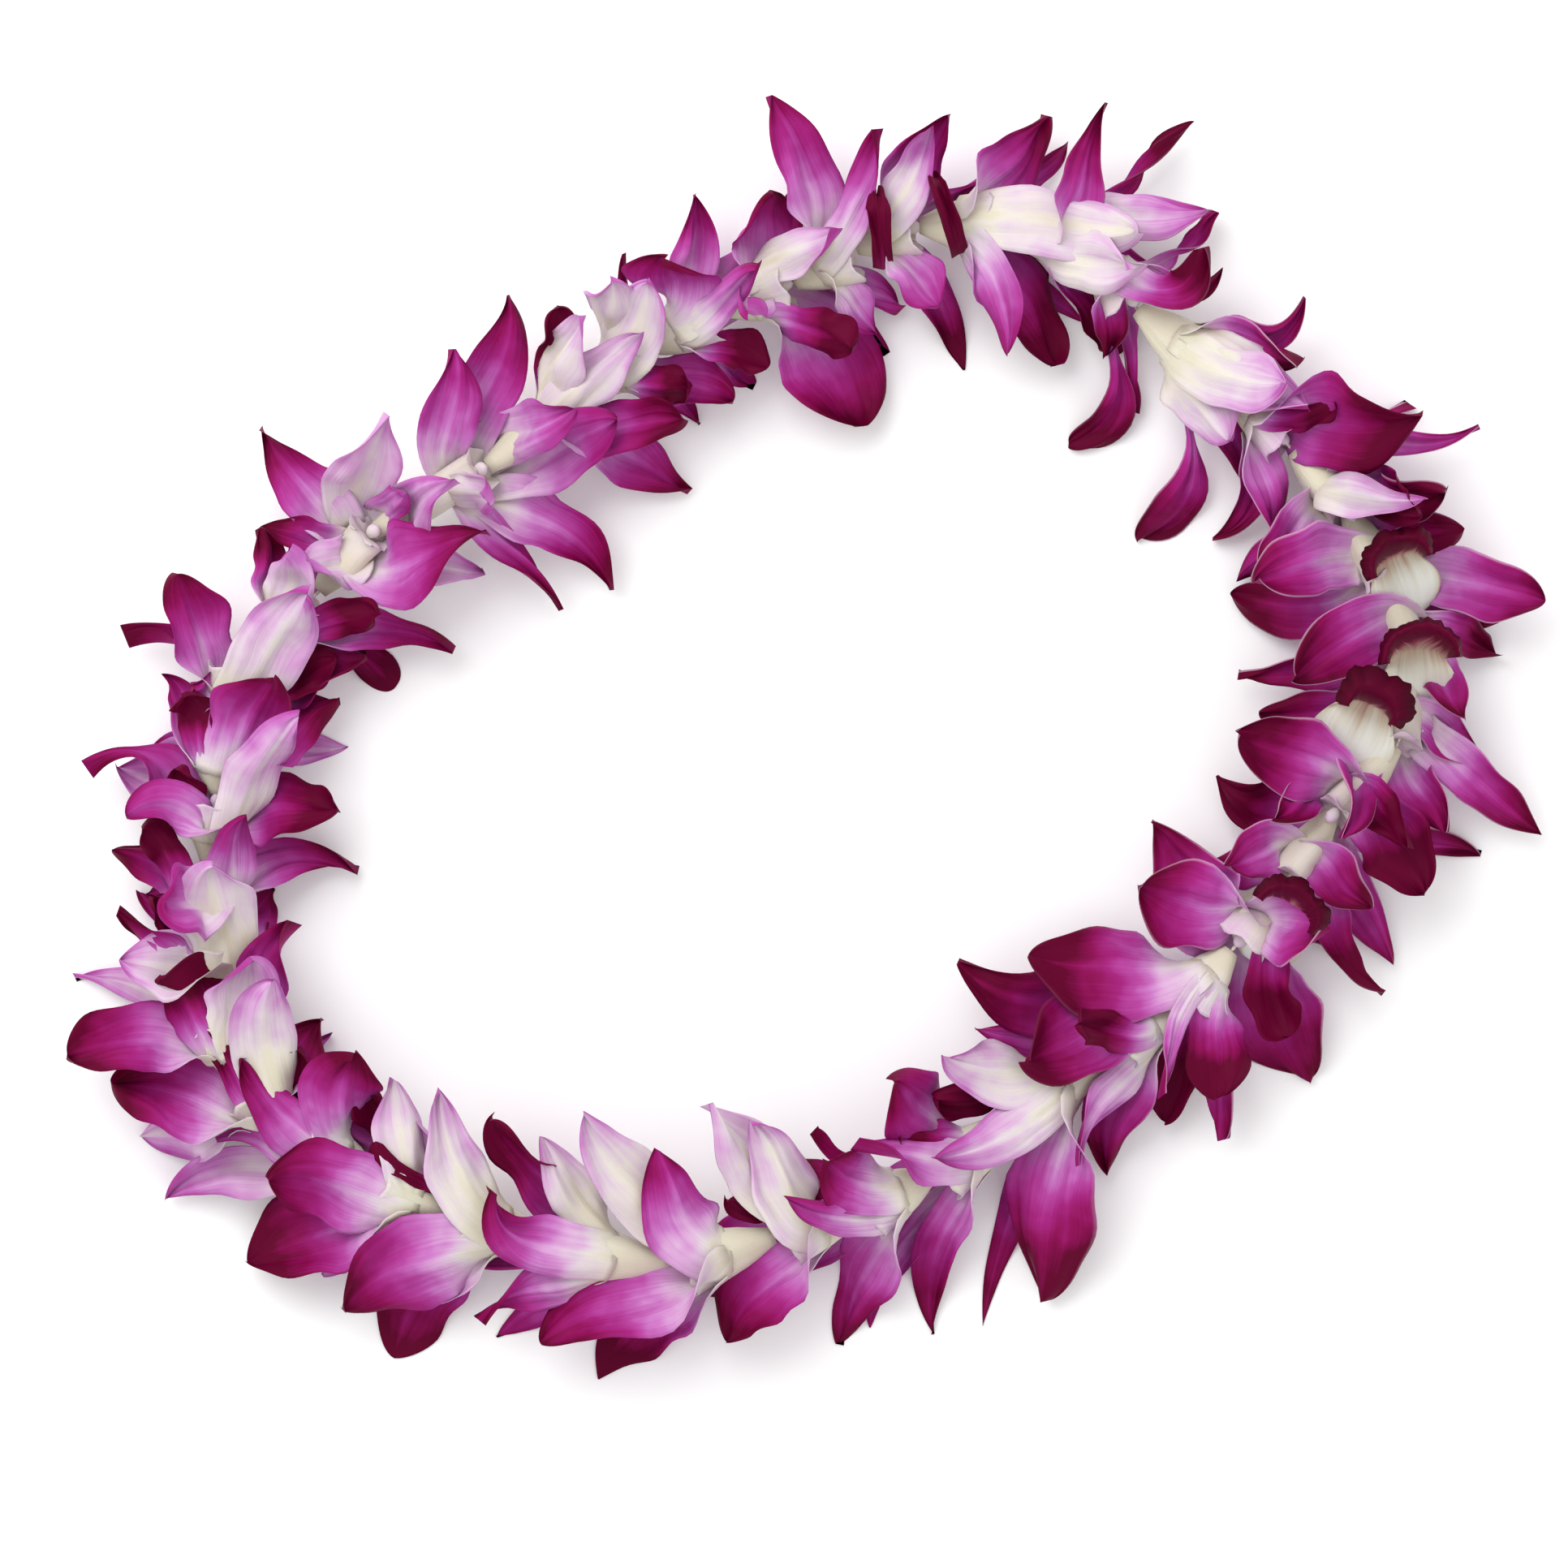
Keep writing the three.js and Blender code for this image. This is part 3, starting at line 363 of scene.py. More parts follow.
def blades_of(index, axes):
    """The blades of a bloom: their feet stand evenly round the mouth in the order of their tips."""
    blades = []
    for kind, across, down, height, broad, tone, *bow in BLOOMS[index][2]:
        if kind in ("hood", "flap"):
            continue
        tip = tip_at(across, down, height)
        arm = tip - axes["cup"]
        turn = math.atan2(arm.dot(axes["top"]), arm.dot(axes["out"]))
        blades.append({"neck": NECK, **KINDS[kind], "tip": tip, "broad": broad, "tone": tone, "turn": turn,
                       "bow": bow})
    blades.sort(key=lambda blade: blade["turn"])
    step = 2 * math.pi / len(blades)
    start = sum(blade["turn"] - k * step for k, blade in enumerate(blades)) / len(blades)
    for k, blade in enumerate(blades):
        blade["foot_turn"] = start + k * step
        blade["phase"] = PHASE_STEP * k + index
        blade["whorl"] = WHORL * (k % 2)
        blade["bow"] = blade["bow"][0] if blade["bow"] else BOW * math.sin(2.9 * blade["phase"])
    return blades


first = axes_of(0)
sample = blades_of(0, first)[0]
print("blades in all blooms:", sum(len(blades) for mouth, lift, blades in BLOOMS))

# %% [markdown]
# Four points guide a midrib, as they guide any cubic curve. The foot stands in the cup. The next point
# lies ahead of it and a little outwards, the third comes back from the tip the way the tip points, and
# the last is the tip. A pair of numbers below is for a bloom that lies along the thread and for one
# that looks up at the sky, and the blooms between take a share of both.

# %% The midrib
CUP_RADIUS = 6.6
FOOT_BACK = 5.5  # a blade's foot starts this far behind the cup, inside the tube's wall
AHEAD = (0.3, 0.2)  # how far ahead of the foot the second guide lies, against the blade's reach
OUTWARD = (0.12, 0.26)  # and how far outwards
FACING = (0.4, 1)  # how far it turns from the thread's way to where the bloom faces
TIP_BACK = 0.38  # how far the third guide lies from the tip
TIP_OUTWARD = 0.7  # how strongly the tip points away from the bloom's axis
HOOD_ROOM = 4  # under a hood the second guide lies at most this much above the thread


def midrib_of(axes, blade):
    """Four points that guide the midrib from its foot in the cup to its tip."""
    opened = axes["opened"]
    radial = axes["out"] * math.cos(blade["foot_turn"]) + axes["top"] * math.sin(blade["foot_turn"])
    axis = axes["along"].lerp(axes["face"], opened)
    foot = axes["cup"] + radial * (CUP_RADIUS + blade["whorl"]) - axis * FOOT_BACK
    reach = (blade["tip"] - foot).length
    onward = axes["along"].lerp(axes["face"], mix(*FACING, opened)) * mix(*AHEAD, opened)
    rise = foot + (onward + radial * mix(*OUTWARD, opened)) * reach
    arm = blade["tip"] - axes["cup"]
    away = (arm - axis * arm.dot(axis)).normalized()
    end = ((blade["tip"] - foot).normalized() + away * TIP_OUTWARD).normalized()
    bend = blade["tip"] - end * (TIP_BACK * reach) + UP.cross(end).normalized() * (blade["bow"] * reach)
    if blade["tip"].z < 0:
        bend.z = blade["tip"].z
    if axes["hooded"]:
        rise.z = min(rise.z, THREAD_HEIGHT + HOOD_ROOM)
    return foot, rise, bend, blade["tip"]


def place_on(midrib, u):
    """The point at a share u of a midrib, and the way that it runs there."""
    a, b, c, d = midrib
    w = 1 - u
    point = a * w**3 + b * (3 * u * w * w) + c * (3 * u * u * w) + d * u**3
    way = (b - a) * (w * w) + (c - b) * (2 * u * w) + (d - c) * (u * u)
    return point, way.normalized()


guides = midrib_of(first, sample)
print("the first blade reaches %.0f mm" % (guides[3] - guides[0]).length)

# %% [markdown]
# Two lips at the top of the loop stand on edge, so the camera sees each as a narrow dark band. It could
# be a piece of its own, but a lip's blade whose midrib is given outright makes the same shape.

# %% A lip seen from its edge
FLAP_AHEAD = 6.5  # the band stands this far ahead of the mouth
FLAP_FOOT = 2  # its far end lies this much above the thread
FLAP_CREST = 15  # how far the guides of its crest stand above its ends
FLAP_START = 0.55  # its colours start this far down a blade's run, so that it is dark all over


def flap_of(axes, index, tip, broad, tone):
    """A dark band from the tip over the mouth and down its other side."""
    foot = (mouths[index] + axes["along"] * FLAP_AHEAD) * 2 - tip
    foot.z = THREAD_HEIGHT + FLAP_FOOT
    crest = UP * FLAP_CREST
    midrib = (foot, foot + crest, tip + crest, tip)
    return {"neck": NECK, **KINDS["lip"], "broad": broad, "tone": tone, "phase": index, "midrib": midrib,
            "start": FLAP_START}


# %% [markdown]
# Across its midrib, a blade has a straight rib at each place. Near the mouth it faces the bloom's
# middle, as it does on the plant. Further out it lies flatter, because the heap presses it down, and
# its kind's twist turns its outer end.

# %% The ribs across a blade
MIDDLE_BACK = 6  # the bloom's middle, which its blades face, lies this far behind the cup
FLATTEN = 0.7  # how far a blade has turned level by lying in the heap


def across_of(axes, midrib, u):
    """The way across a blade that faces the bloom's middle."""
    point, way = place_on(midrib, u)
    across = axes["face"].cross(point - axes["cup"] + axes["along"] * MIDDLE_BACK)
    return (across - way * across.dot(way)).normalized()


def rib_of(axes, blade, midrib, side, u):
    """A rib of a blade: its place and the ways across and through it."""
    point, way = place_on(midrib, u)
    level = UP.cross(way).normalized() * side
    flat = 1 if "midrib" in blade else FLATTEN * smooth(-0.05, 0.4, u)
    across = across_of(axes, midrib, u).lerp(level, flat)
    across = (across - way * across.dot(way)).normalized()
    turn = blade["twist"] * math.sin(1.7 * blade["phase"]) * smooth(0.3, 1, u)
    across = Quaternion(way, turn) @ across
    return point, across, way.cross(across)


middle = rib_of(first, sample, guides, 1, 0.5)
print("its middle lies %.0f mm above the surface" % middle[0].z)

# %% [markdown]
# A blade's width and its hollows are functions of two shares: u runs from foot to tip, and v from one
# margin at -1 over the midrib at 0 to the other at 1. Real petals are never smooth, so noise makes the
# margin wander and lifts the petal in broad soft folds and in fine pleats between its veins. The
# numbers in a noise's place say how often it changes along the blade, across it and with its phase.

# %% The blade's outline and relief
MARGIN = 0.36  # how far a margin wanders, against the half width
FOLD = 5.5
PLEAT = 1.1
WAVE = 1.8
KEEL = 1.1  # how deep the midrib lies
SHEATH = 0.066  # how strongly a foot is rolled, so that it wraps the cup


def half_width(blade, u, v):
    """Half the blade's width at a share u, with a margin that wanders as it grew."""
    rise = mix(min(1, blade["foot"] / blade["broad"]), 1, smooth(blade["neck"], blade["widest"], u))
    past = max(0, (u - blade["widest"]) / (1 - blade["widest"]))
    closing = max(0, 1 - past ** blade["point"]) ** blade["sharp"]
    wander = 1 + MARGIN * smooth(0.2, 0.5, u) * noise.noise(Vector((3.6 * u, 1.3 * v, 7.7 * blade["phase"])))
    return blade["half"] * blade["broad"] * rise * wander * closing


def fold_at(blade, u, v):
    """How far the petal's own folds lift it: broad soft ones, and fine pleats between its veins."""
    seed = 5.3 * blade["phase"]
    soft = FOLD * smooth(0.2, 0.6, u) * noise.noise(Vector((1.9 * u, 1.1 * v, seed)))
    pleat = PLEAT * smooth(0.05, 0.3, u) * noise.noise(Vector((1.3 * u, 5.0 * v, seed + 40)))
    return soft + pleat


def blade_point(blade, rib, u, v):
    """A point of a blade's middle surface."""
    point, across, through = rib
    reach = v * half_width(blade, u, v)
    hollow = mix(SHEATH, blade["hollow"], smooth(0.05, 0.35, u)) * reach * reach
    wave = WAVE * smooth(0.3, 0.8, u) * v * v * math.sin(6 * u + blade["phase"] + 1.6 * v)
    keel = -KEEL * smooth(0.1, 0.4, u) * (1 - u) * math.exp(-((4 * v) ** 2))
    swing = math.sin(19 * u + 2 * blade["phase"] + 3 * v)
    ruffle = blade["frill"] * smooth(0.35, 0.8, u) * abs(v)**3 * swing
    return point + across * reach + through * (hollow + wave + keel + ruffle + fold_at(blade, u, v))


print("and is %.0f mm wide there" % (2 * half_width(sample, 0.5, 0)))

# %% [markdown]
# A blade starts as a flat grid whose corners run from -1 to 1. Each vertex is then moved to its place
# on the curved blade. Rows crowd together towards the tip, so that a round end is drawn smoothly, and
# the end row shrinks to one point and is merged. Extruding the sheet by the thickness of a real petal,
# about half a millimetre, gives it a second side. The petals' finish needs five numbers, which are kept
# on the vertices: how far along the blade a point lies, how far across, the blade's tone, its seed, and
# whether it is the inner side, because petals are paler outside.

# %% The blade as a mesh
ROWS = 26
COLUMNS = 16
PETAL_THICKNESS = 0.45
MERGE = 1e-4
SURFACE_GAP = 0.1  # a pressed blade still lies this much above the surface
LAYERS = ("along", "across", "tone", "seed", "inner")


def mark(vert, layers, *values):
    """Keep the finish's five numbers on a vertex, in the order of LAYERS."""
    for name, value in zip(LAYERS, values):
        vert[layers[name]] = value


def thicken(bm, layers, sheet, depths):
    """Give a sheet its second side, the inner one. Depths has the way through it at each place."""
    faces = list({face for vert in sheet for face in vert.link_faces})
    shell = bmesh.ops.extrude_face_region(bm, geom=faces, use_keep_orig=True)["geom"]
    front = [item for item in shell if isinstance(item, bmesh.types.BMVert)]
    for vert in front:
        vert.co += depths[tuple(vert.co)] * PETAL_THICKNESS
        vert[layers["inner"]] = 1
    return front


def add_blade(bm, layers, axes, blade):
    midrib = blade.get("midrib") or midrib_of(axes, blade)
    level = UP.cross(place_on(midrib, 0.6)[1])
    side = -1 if level.dot(across_of(axes, midrib, 0.6)) < 0 else 1
    shares = [math.sin(row / ROWS * math.pi / 2) for row in range(ROWS + 1)]
    ribs = [rib_of(axes, blade, midrib, side, u) for u in shares]
    sheet = bmesh.ops.create_grid(bm, x_segments=COLUMNS, y_segments=ROWS, size=1)["verts"]
    depths = {}
    for vert in sheet:
        v = vert.co.x
        row = round((vert.co.y + 1) / 2 * ROWS)
        vert.co = blade_point(blade, ribs[row], shares[row], v)
        depths[tuple(vert.co)] = ribs[row][2]
        mark(vert, layers, mix(blade.get("start", 0), 1, shares[row]), v, blade["tone"], blade["phase"], 0)
    whole = sheet + thicken(bm, layers, sheet, depths)
    for vert in whole:
        vert.co.z = max(vert.co.z, SURFACE_GAP + PETAL_THICKNESS * vert[layers["inner"]])
    bmesh.ops.remove_doubles(bm, verts=whole, dist=MERGE)


print("faces on each side of a blade:", ROWS * COLUMNS)

# %% [markdown]
# The base of a bloom is a creamy tube that the needle went through, and it opens into a funnel that
# holds the blades' feet together. Its wall is a closed profile spun about the thread: out along the
# tube, over the rim of the funnel, and back in as the throat. Three low ridges run along it, where the
# sepals grew together, and past the tube the funnel turns to where the bloom faces.

# %% The base
BASE_PROFILE = [
    (0.0, 0.9), (0.0, 2.4), (0.12, 3.3), (0.3, 4.6), (0.5, 6.0), (0.75, 7.3), (1.0, 8.2), (1.15, 8.7),
    (1.3, 9.3), (1.4, 9.8), (1.39, 9.5), (1.3, 8.2), (1.22, 6.4), (1.16, 4.4), (1.12, 2.4), (1.1, 0.9),
]  # share of the base's length, radius
BASE_STEPS = 30
RIM = 1.4  # the rim's share
RIDGE = 0.09
RIM_WAVE = 0.8
OPEN_WAIST = 0.28  # how much narrower the tube is where the blades part at the mouth
OPEN_SHORT = 0.7  # and how much shorter its funnel
BASE_RUN = (-0.22, 0.26)  # where the base starts and ends on a blade's run of colours
BASE_TONE = 0.5


def add_base(bm, layers, axes, phase):
    axis = axes["cup"] - axes["base"]
    length = axis.length
    ring = [bm.verts.new((radius, 0, share * length)) for share, radius in BASE_PROFILE]
    edges = [bm.edges.new((ring[k], ring[(k + 1) % len(ring)])) for k in range(len(ring))]
    before = set(bm.verts) - set(ring)
    bmesh.ops.spin(bm, geom=ring + edges, axis=UP, cent=(0, 0, 0), steps=BASE_STEPS,
                   angle=2 * math.pi, use_merge=True)
    made = [vert for vert in bm.verts if vert not in before]
    turn = UP.rotation_difference(axis)
    hinge = axes["along"].cross(axes["face"])
    for vert in made:
        share = vert.co.z / length
        angle = math.atan2(vert.co.y, vert.co.x)
        ridge = 1 + RIDGE * math.cos(3 * angle + phase) * smooth(0, 0.3, share)
        ridge -= OPEN_WAIST * axes["opened"] * smooth(0.4, 0.8, share)
        vert.co.z -= OPEN_SHORT * axes["opened"] * max(0, share - 1) * length
        vert.co.x *= ridge
        vert.co.y *= ridge
        vert.co.z += RIM_WAVE * smooth(1.1, RIM, share) * math.sin(6 * angle + phase)
        mark(vert, layers, mix(*BASE_RUN, share / RIM), angle, BASE_TONE, phase, 0)
        vert.co = turn @ vert.co + axes["base"]
        if share > 1 and hinge.length > 0:
            bent = Quaternion(hinge.normalized(), hinge.length * smooth(0.9, 1.8, share))
            vert.co = bent @ (vert.co - axes["cup"]) + axes["cup"]


print("a funnel is %.0f mm wide" % (2 * max(radius for share, radius in BASE_PROFILE)))

# %% [markdown]
# Where a bloom looks up at the sky, its lip arches over the back of the mouth as a hood: a wall that
# rises round the throat, cream and then tan, the tan being painted shade of the hollow, and spreads at
# its rim into a dark, nearly level frill.
# Its pale floor reaches forward under the next bloom. It is again a flat grid, whose width runs round
# the mouth and whose height runs from the floor's front end to the rim.

# %% The hood
HOOD_SPAN = 1.6  # how far the hood's rim goes round the mouth to either side, in radians
HOOD_RADIUS = 12
HOOD_BROAD = 1.15
HOOD_DROOP = 5
HOOD_WAVES = 2.5  # how far its rim goes up and down
HOOD_LOBES = 2.4  # and how far in and out
HOOD_TAPER = 0.4  # how much narrower the rim is at its two ends
HOOD_NARROW = 3  # how far the throat reaches back from its middle
HOOD_WIDE = 8  # and to either side
HOOD_THROAT = 25  # the height of the floor there
HOOD_FLOOR = 0.4  # the floor's share of the rows
HOOD_WALL = (0.35, 0.75)  # the shares of the rows between which the wall rises
HOOD_RIM = 0.52  # the share from which the rim spreads
HOOD_SHADE = 0.45  # how far to the margin's colours the sides of the floor get
HOOD_APRON = 16  # how far the floor reaches forward, under the next bloom
HOOD_SPREAD = 14  # how strongly it widens before its rounded end
HOOD_ROUND = 0.9  # how nearly that end closes
HOOD_DIP = 9  # how much lower it lies
HOOD_SIDE_DIP = 3  # and how much lower its sides
HOOD_SIDES = 44
HOOD_ROWS = 28


def hood_point(centre, back, size, band, s, t):
    """A point of the hood, and the way through it. s runs from side to side and t from floor to rim."""
    ahead = 1 - min(1, t / HOOD_FLOOR)
    wall = smooth(*HOOD_WALL, t)
    rim = smooth(HOOD_RIM, 1, t)
    side = UP.cross(back)
    angle = s * HOOD_SPAN
    radial = back * math.cos(angle) + side * math.sin(angle)
    mouth = HOOD_RADIUS * (1 - band)
    behind = math.cos(angle) * mix(HOOD_NARROW, mouth, wall)
    beside = math.sin(angle) * mix(HOOD_WIDE, mouth * HOOD_BROAD, wall) * math.sqrt(1 - HOOD_ROUND * ahead**4)
    lobes = HOOD_LOBES * noise.noise(Vector((2.6 * s, size, 7 * band)))
    lobes += noise.noise(Vector((11 * s, size, 3)))
    frill = radial * (rim * (HOOD_RADIUS * band * (1 - HOOD_TAPER * abs(s)**3) + lobes))
    floor = side * (HOOD_SPREAD * s * (1 - ahead)) - back * (HOOD_APRON + behind)
    height = mix(HOOD_THROAT - centre.z, 0, wall) - HOOD_DROOP * rim * rim
    height += HOOD_WAVES * rim * noise.noise(Vector((3.5 * s, size, 20)))
    height -= ahead * (HOOD_DIP * ahead + HOOD_SIDE_DIP * s * s)
    through = (UP * max(rim, 1 - wall) - radial * wall * (1 - rim)).normalized()
    return centre + (back * behind + side * beside + frill + floor * ahead) * size + UP * height, through


def add_hood(bm, layers, axes, crown, size, tone, band, phase):
    """The hood whose rim is highest at the crown."""
    back = -axes["along"]
    centre = crown - back * (HOOD_RADIUS * size)
    sheet = bmesh.ops.create_grid(bm, x_segments=HOOD_SIDES, y_segments=HOOD_ROWS, size=1)["verts"]
    depths = {}
    for vert in sheet:
        s = vert.co.x
        t = (vert.co.y + 1) / 2
        vert.co, through = hood_point(centre, back, size, band, s, t)
        depths[tuple(vert.co)] = through
        mark(vert, layers, t, mix(HOOD_SHADE * s, s * s * s, smooth(0.4, 0.65, t)), tone, phase, 0)
    thicken(bm, layers, sheet, depths)


print("hoods:", sum(axes_of(index)["hooded"] for index in range(len(BLOOMS))))

# %% [markdown]
# In the middle of the mouth stands the column, the small white knob that holds an orchid's pollen. It
# is an icosphere drawn out along the way the bloom faces. In a hooded bloom it stands further back.

# %% The column
COLUMN_RADIUS = 1.9
COLUMN_STRETCH = 1.9
COLUMN_GROOVE = 0.12
COLUMN_SWELL = (0.75, 1.1)  # its breadth at its foot and at its head
COLUMN_RUN = (0.0, 0.08)  # where it starts and ends on a blade's run of colours
COLUMN_TONE = 0.6
COLUMN_OUT = 4.5  # how far it stands out of the cup; under a hood, it stands as far inside


def add_column(bm, layers, axes, phase):
    turn = UP.rotation_difference(axes["face"])
    out = -COLUMN_OUT if axes["hooded"] else COLUMN_OUT
    for vert in bmesh.ops.create_icosphere(bm, subdivisions=3, radius=COLUMN_RADIUS)["verts"]:
        share = vert.co.z / COLUMN_RADIUS
        angle = math.atan2(vert.co.y, vert.co.x)
        groove = 1 - COLUMN_GROOVE * math.cos(2 * angle + phase) * smooth(-1, 0.6, share)
        swell = mix(*COLUMN_SWELL, smooth(-1, 0.7, share)) * groove
        vert.co = Vector((vert.co.x * swell, vert.co.y * swell, vert.co.z * COLUMN_STRETCH))
        mark(vert, layers, mix(*COLUMN_RUN, smooth(0, 1, share)), 0.5, COLUMN_TONE, phase, 1)
        vert.co = turn @ vert.co + axes["cup"] + axes["face"] * out


print("a column is %.1f mm long" % (2 * COLUMN_RADIUS * COLUMN_STRETCH))

# %% [markdown]
# A bloom is its base, its column, its blades and here and there a hood, joined in one mesh that stands
# for the frame's plain bloom. Only now do the millimetres become metres.

# %% One bloom


def mesh_of(bm, name):
    """A smooth mesh in metres from a bmesh in millimetres, with its faces turned outwards."""
    bmesh.ops.recalc_face_normals(bm, faces=bm.faces[:])
    bmesh.ops.scale(bm, vec=(MM, MM, MM), verts=bm.verts[:])
    mesh = bpy.data.meshes.new(name)
    bm.to_mesh(mesh)
    bm.free()
    mesh.shade_smooth()
    return mesh


def bloom(index):
    bm = bmesh.new()
    layers = {name: bm.verts.layers.float.new(name) for name in LAYERS}
    axes = axes_of(index)
    add_base(bm, layers, axes, index)
    add_column(bm, layers, axes, index)
    for blade in blades_of(index, axes):
        add_blade(bm, layers, axes, blade)
    for kind, across, down, height, broad, tone, *band in BLOOMS[index][2]:
        crown = tip_at(across, down, height)
        if kind == "hood":
            add_hood(bm, layers, axes, crown, broad, tone, band[0], index)
        if kind == "flap":
            add_blade(bm, layers, axes, flap_of(axes, index, crown, broad, tone))
    mesh = mesh_of(bm, "orchid_%02d" % (index + 1))
    return place_in_scene(mesh.name, mesh)


# %% [markdown]
# Finishes are node materials. A few helpers keep them readable: a colour as it looks on screen, a node
# with its settings, a sum or product of sockets and numbers, a noise, and a value brought from one
# range to another.

# %% Helpers for materials


def colour(red, green, blue):
    """A screen colour, 0 to 255, as the linear colour that a shader takes."""
    def linear(value):
        value /= 255
        return value / 12.92 if value <= 0.04045 else ((value + 0.055) / 1.055) ** 2.4
    return (linear(red), linear(green), linear(blue), 1)


def material(name):
    made = bpy.data.materials.new(name)
    made.use_nodes = True
    return made, made.node_tree, made.node_tree.nodes["Principled BSDF"]


def put(tree, kind, inputs=None, **settings):
    """A new node, its settings, and for each input a number, a colour or a socket to link."""
    made = tree.nodes.new("ShaderNode" + kind)
    for name, value in settings.items():
        setattr(made, name, value)
    for name, value in (inputs or {}).items():
        if isinstance(value, bpy.types.NodeSocket):
            tree.links.new(value, made.inputs[name])
        else:
            made.inputs[name].default_value = value
    return made


def sum_of(tree, operation, *values):
    """One Math node. The values are sockets or numbers."""
    return put(tree, "Math", dict(enumerate(values)), operation=operation).outputs[0]


def blend_of(tree, share, first, second):
    """The first colour where the share is 0 and the second where it is 1."""
    return put(tree, "Mix", {0: share, 6: first, 7: second}, data_type="RGBA").outputs[2]


def ramp(tree, factor, stops):
    """A colour ramp of (place, colour) stops."""
    made = put(tree, "ValToRGB", {"Fac": factor})
    elements = made.color_ramp.elements
    elements[0].position, elements[0].color = stops[0]
    elements[1].position, elements[1].color = stops[-1]
    for place, shade in stops[1:-1]:
        elements.new(place).color = shade
    return made.outputs["Color"]


def attribute(tree, name):
    return put(tree, "Attribute", attribute_name=name).outputs["Fac"]


def noise_of(tree, where, scale, detail):
    """Soft noise, from 0 to 1."""
    return put(tree, "TexNoise", {"Vector": where, "Scale": scale, "Detail": detail}).outputs["Fac"]


def range_of(tree, value, start, end, low=0.0, high=1.0, how="LINEAR"):
    """Low where the value is at the start or before it, and high from the end on."""
    limits = {"Value": value, "From Min": start, "From Max": end, "To Min": low, "To Max": high}
    return put(tree, "MapRange", limits, interpolation_type=how).outputs[0]


def stirred(tree, value, noises):
    """The value, made to wander by (noise, strength) pairs."""
    for wander, strength in noises:
        value = sum_of(tree, "MULTIPLY_ADD", sum_of(tree, "SUBTRACT", wander, 0.5), strength, value)
    return value


# %% [markdown]
# The petals' colour runs along the blade from a greenish cream foot through lilac to magenta and a
# maroon end, and the tone says how far down that run a blade gets. Veins run from foot to tip, so
# their noise is stretched along the blade, and a pale streak marks the midrib. The outer side is paler
# than the inner one. The blooms at the right have darker ends, and a thin pale line of painted light,
# for the light that passes through them, marks their margins. A hood runs from a white floor through
# tan, which is painted shade of its hollow throat, to maroon.

# %% Petals
PETAL_SHADES = [
    (0.0, colour(214, 208, 186)),
    (0.10, colour(220, 213, 203)),
    (0.20, colour(214, 198, 209)),
    (0.31, colour(206, 162, 202)),
    (0.43, colour(188, 112, 182)),
    (0.55, colour(172, 68, 152)),
    (0.69, colour(154, 34, 118)),
    (0.85, colour(132, 12, 80)),
    (1.0, colour(94, 2, 42)),
]
THROAT_SHADES = [
    (0.0, colour(238, 239, 234)),
    (0.2, colour(228, 229, 219)),
    # from here on, the tan stops are painted shade of the hollow throat, up to the frill's maroon
    (0.3, colour(215, 212, 196)),
    (0.37, colour(202, 186, 164)),
    (0.44, colour(182, 150, 136)),
    (0.5, colour(162, 108, 112)),
    (0.54, colour(132, 52, 74)),
    (0.58, colour(92, 1, 40)),
    (1.0, colour(52, 0, 17)),
]
VEIN_SPREAD = (7.0, 1.6, 3.7)  # how closely veins lie across a blade, along it and from seed to seed
FINER = (4, 1, 1)  # and how much closer the fine ones
FOOT_PLACE = 0.13  # a blade's foot lies here in the run of colours
TONE_REACH = 0.95  # and the tip this far beyond it, times the blade's tone
STREAK = 0.09  # how much paler the midrib is
BORDER = 0.12  # how much darker the margins
OUTER = 0.1  # how much paler the outer side
RIGHT_SIDE = (0.06, 0.14)  # the places along X, in metres, where the blooms' ends start to get darker and are fully so
RIGHT_DARKENING = 0.07  # how much darker their ends are
HOOD_TONE = (1.7, 1.9)  # a blade with a tone beyond these is a hood
SIDEWAYS = 0.8  # how strongly a hood's colours run to its sides too


def veins_of(tree, along, across, seed):
    """Broad and fine veins: noise that is stretched along the blade and differs from blade to blade."""
    places = [sum_of(tree, "MULTIPLY", *pair) for pair in zip((across, along, seed), VEIN_SPREAD)]
    spread = put(tree, "CombineXYZ", dict(zip("XYZ", places))).outputs[0]
    finer = put(tree, "VectorMath", {0: spread, 1: FINER}, operation="MULTIPLY").outputs[0]
    return noise_of(tree, spread, 1.0, 3.0), noise_of(tree, finer, 1.0, 2.0)


def run_of(tree, along, from_rib, tone, inner, to_the_right, noises):
    """How far down the colours a point of a blade lies."""
    run = sum_of(tree, "MULTIPLY_ADD", along, sum_of(tree, "MULTIPLY", tone, TONE_REACH), FOOT_PLACE)
    run = stirred(tree, run, noises)
    run = sum_of(tree, "ADD", run, range_of(tree, from_rib, 0.0, 0.3, -STREAK, 0.0, "SMOOTHSTEP"))
    border = range_of(tree, from_rib, 0.45, 1.0, 0.0, BORDER, "SMOOTHSTEP")
    run = sum_of(tree, "MULTIPLY_ADD", border, along, run)
    run = sum_of(tree, "MULTIPLY_ADD", sum_of(tree, "SUBTRACT", inner, 1.0), OUTER, run)
    # the blooms at the right run further towards their dark end
    return sum_of(tree, "MULTIPLY_ADD", sum_of(tree, "MULTIPLY", to_the_right, along), RIGHT_DARKENING, run)


def lit_margin_of(tree, along, from_rib, tone, to_the_right):
    """Where the painted light through a blade's margin shows: on the blooms at the right, beyond its foot,
    and not on a dark lip.
    """
    edge = range_of(tree, from_rib, 0.93, 1.0, 0.0, 0.5, "SMOOTHSTEP")
    beyond_foot = range_of(tree, along, 0.1, 0.35)
    margin = sum_of(tree, "MULTIPLY", edge, sum_of(tree, "MULTIPLY", to_the_right, beyond_foot))
    return sum_of(tree, "MULTIPLY", margin, range_of(tree, tone, 1.0, 1.3, 1.0, 0.0))


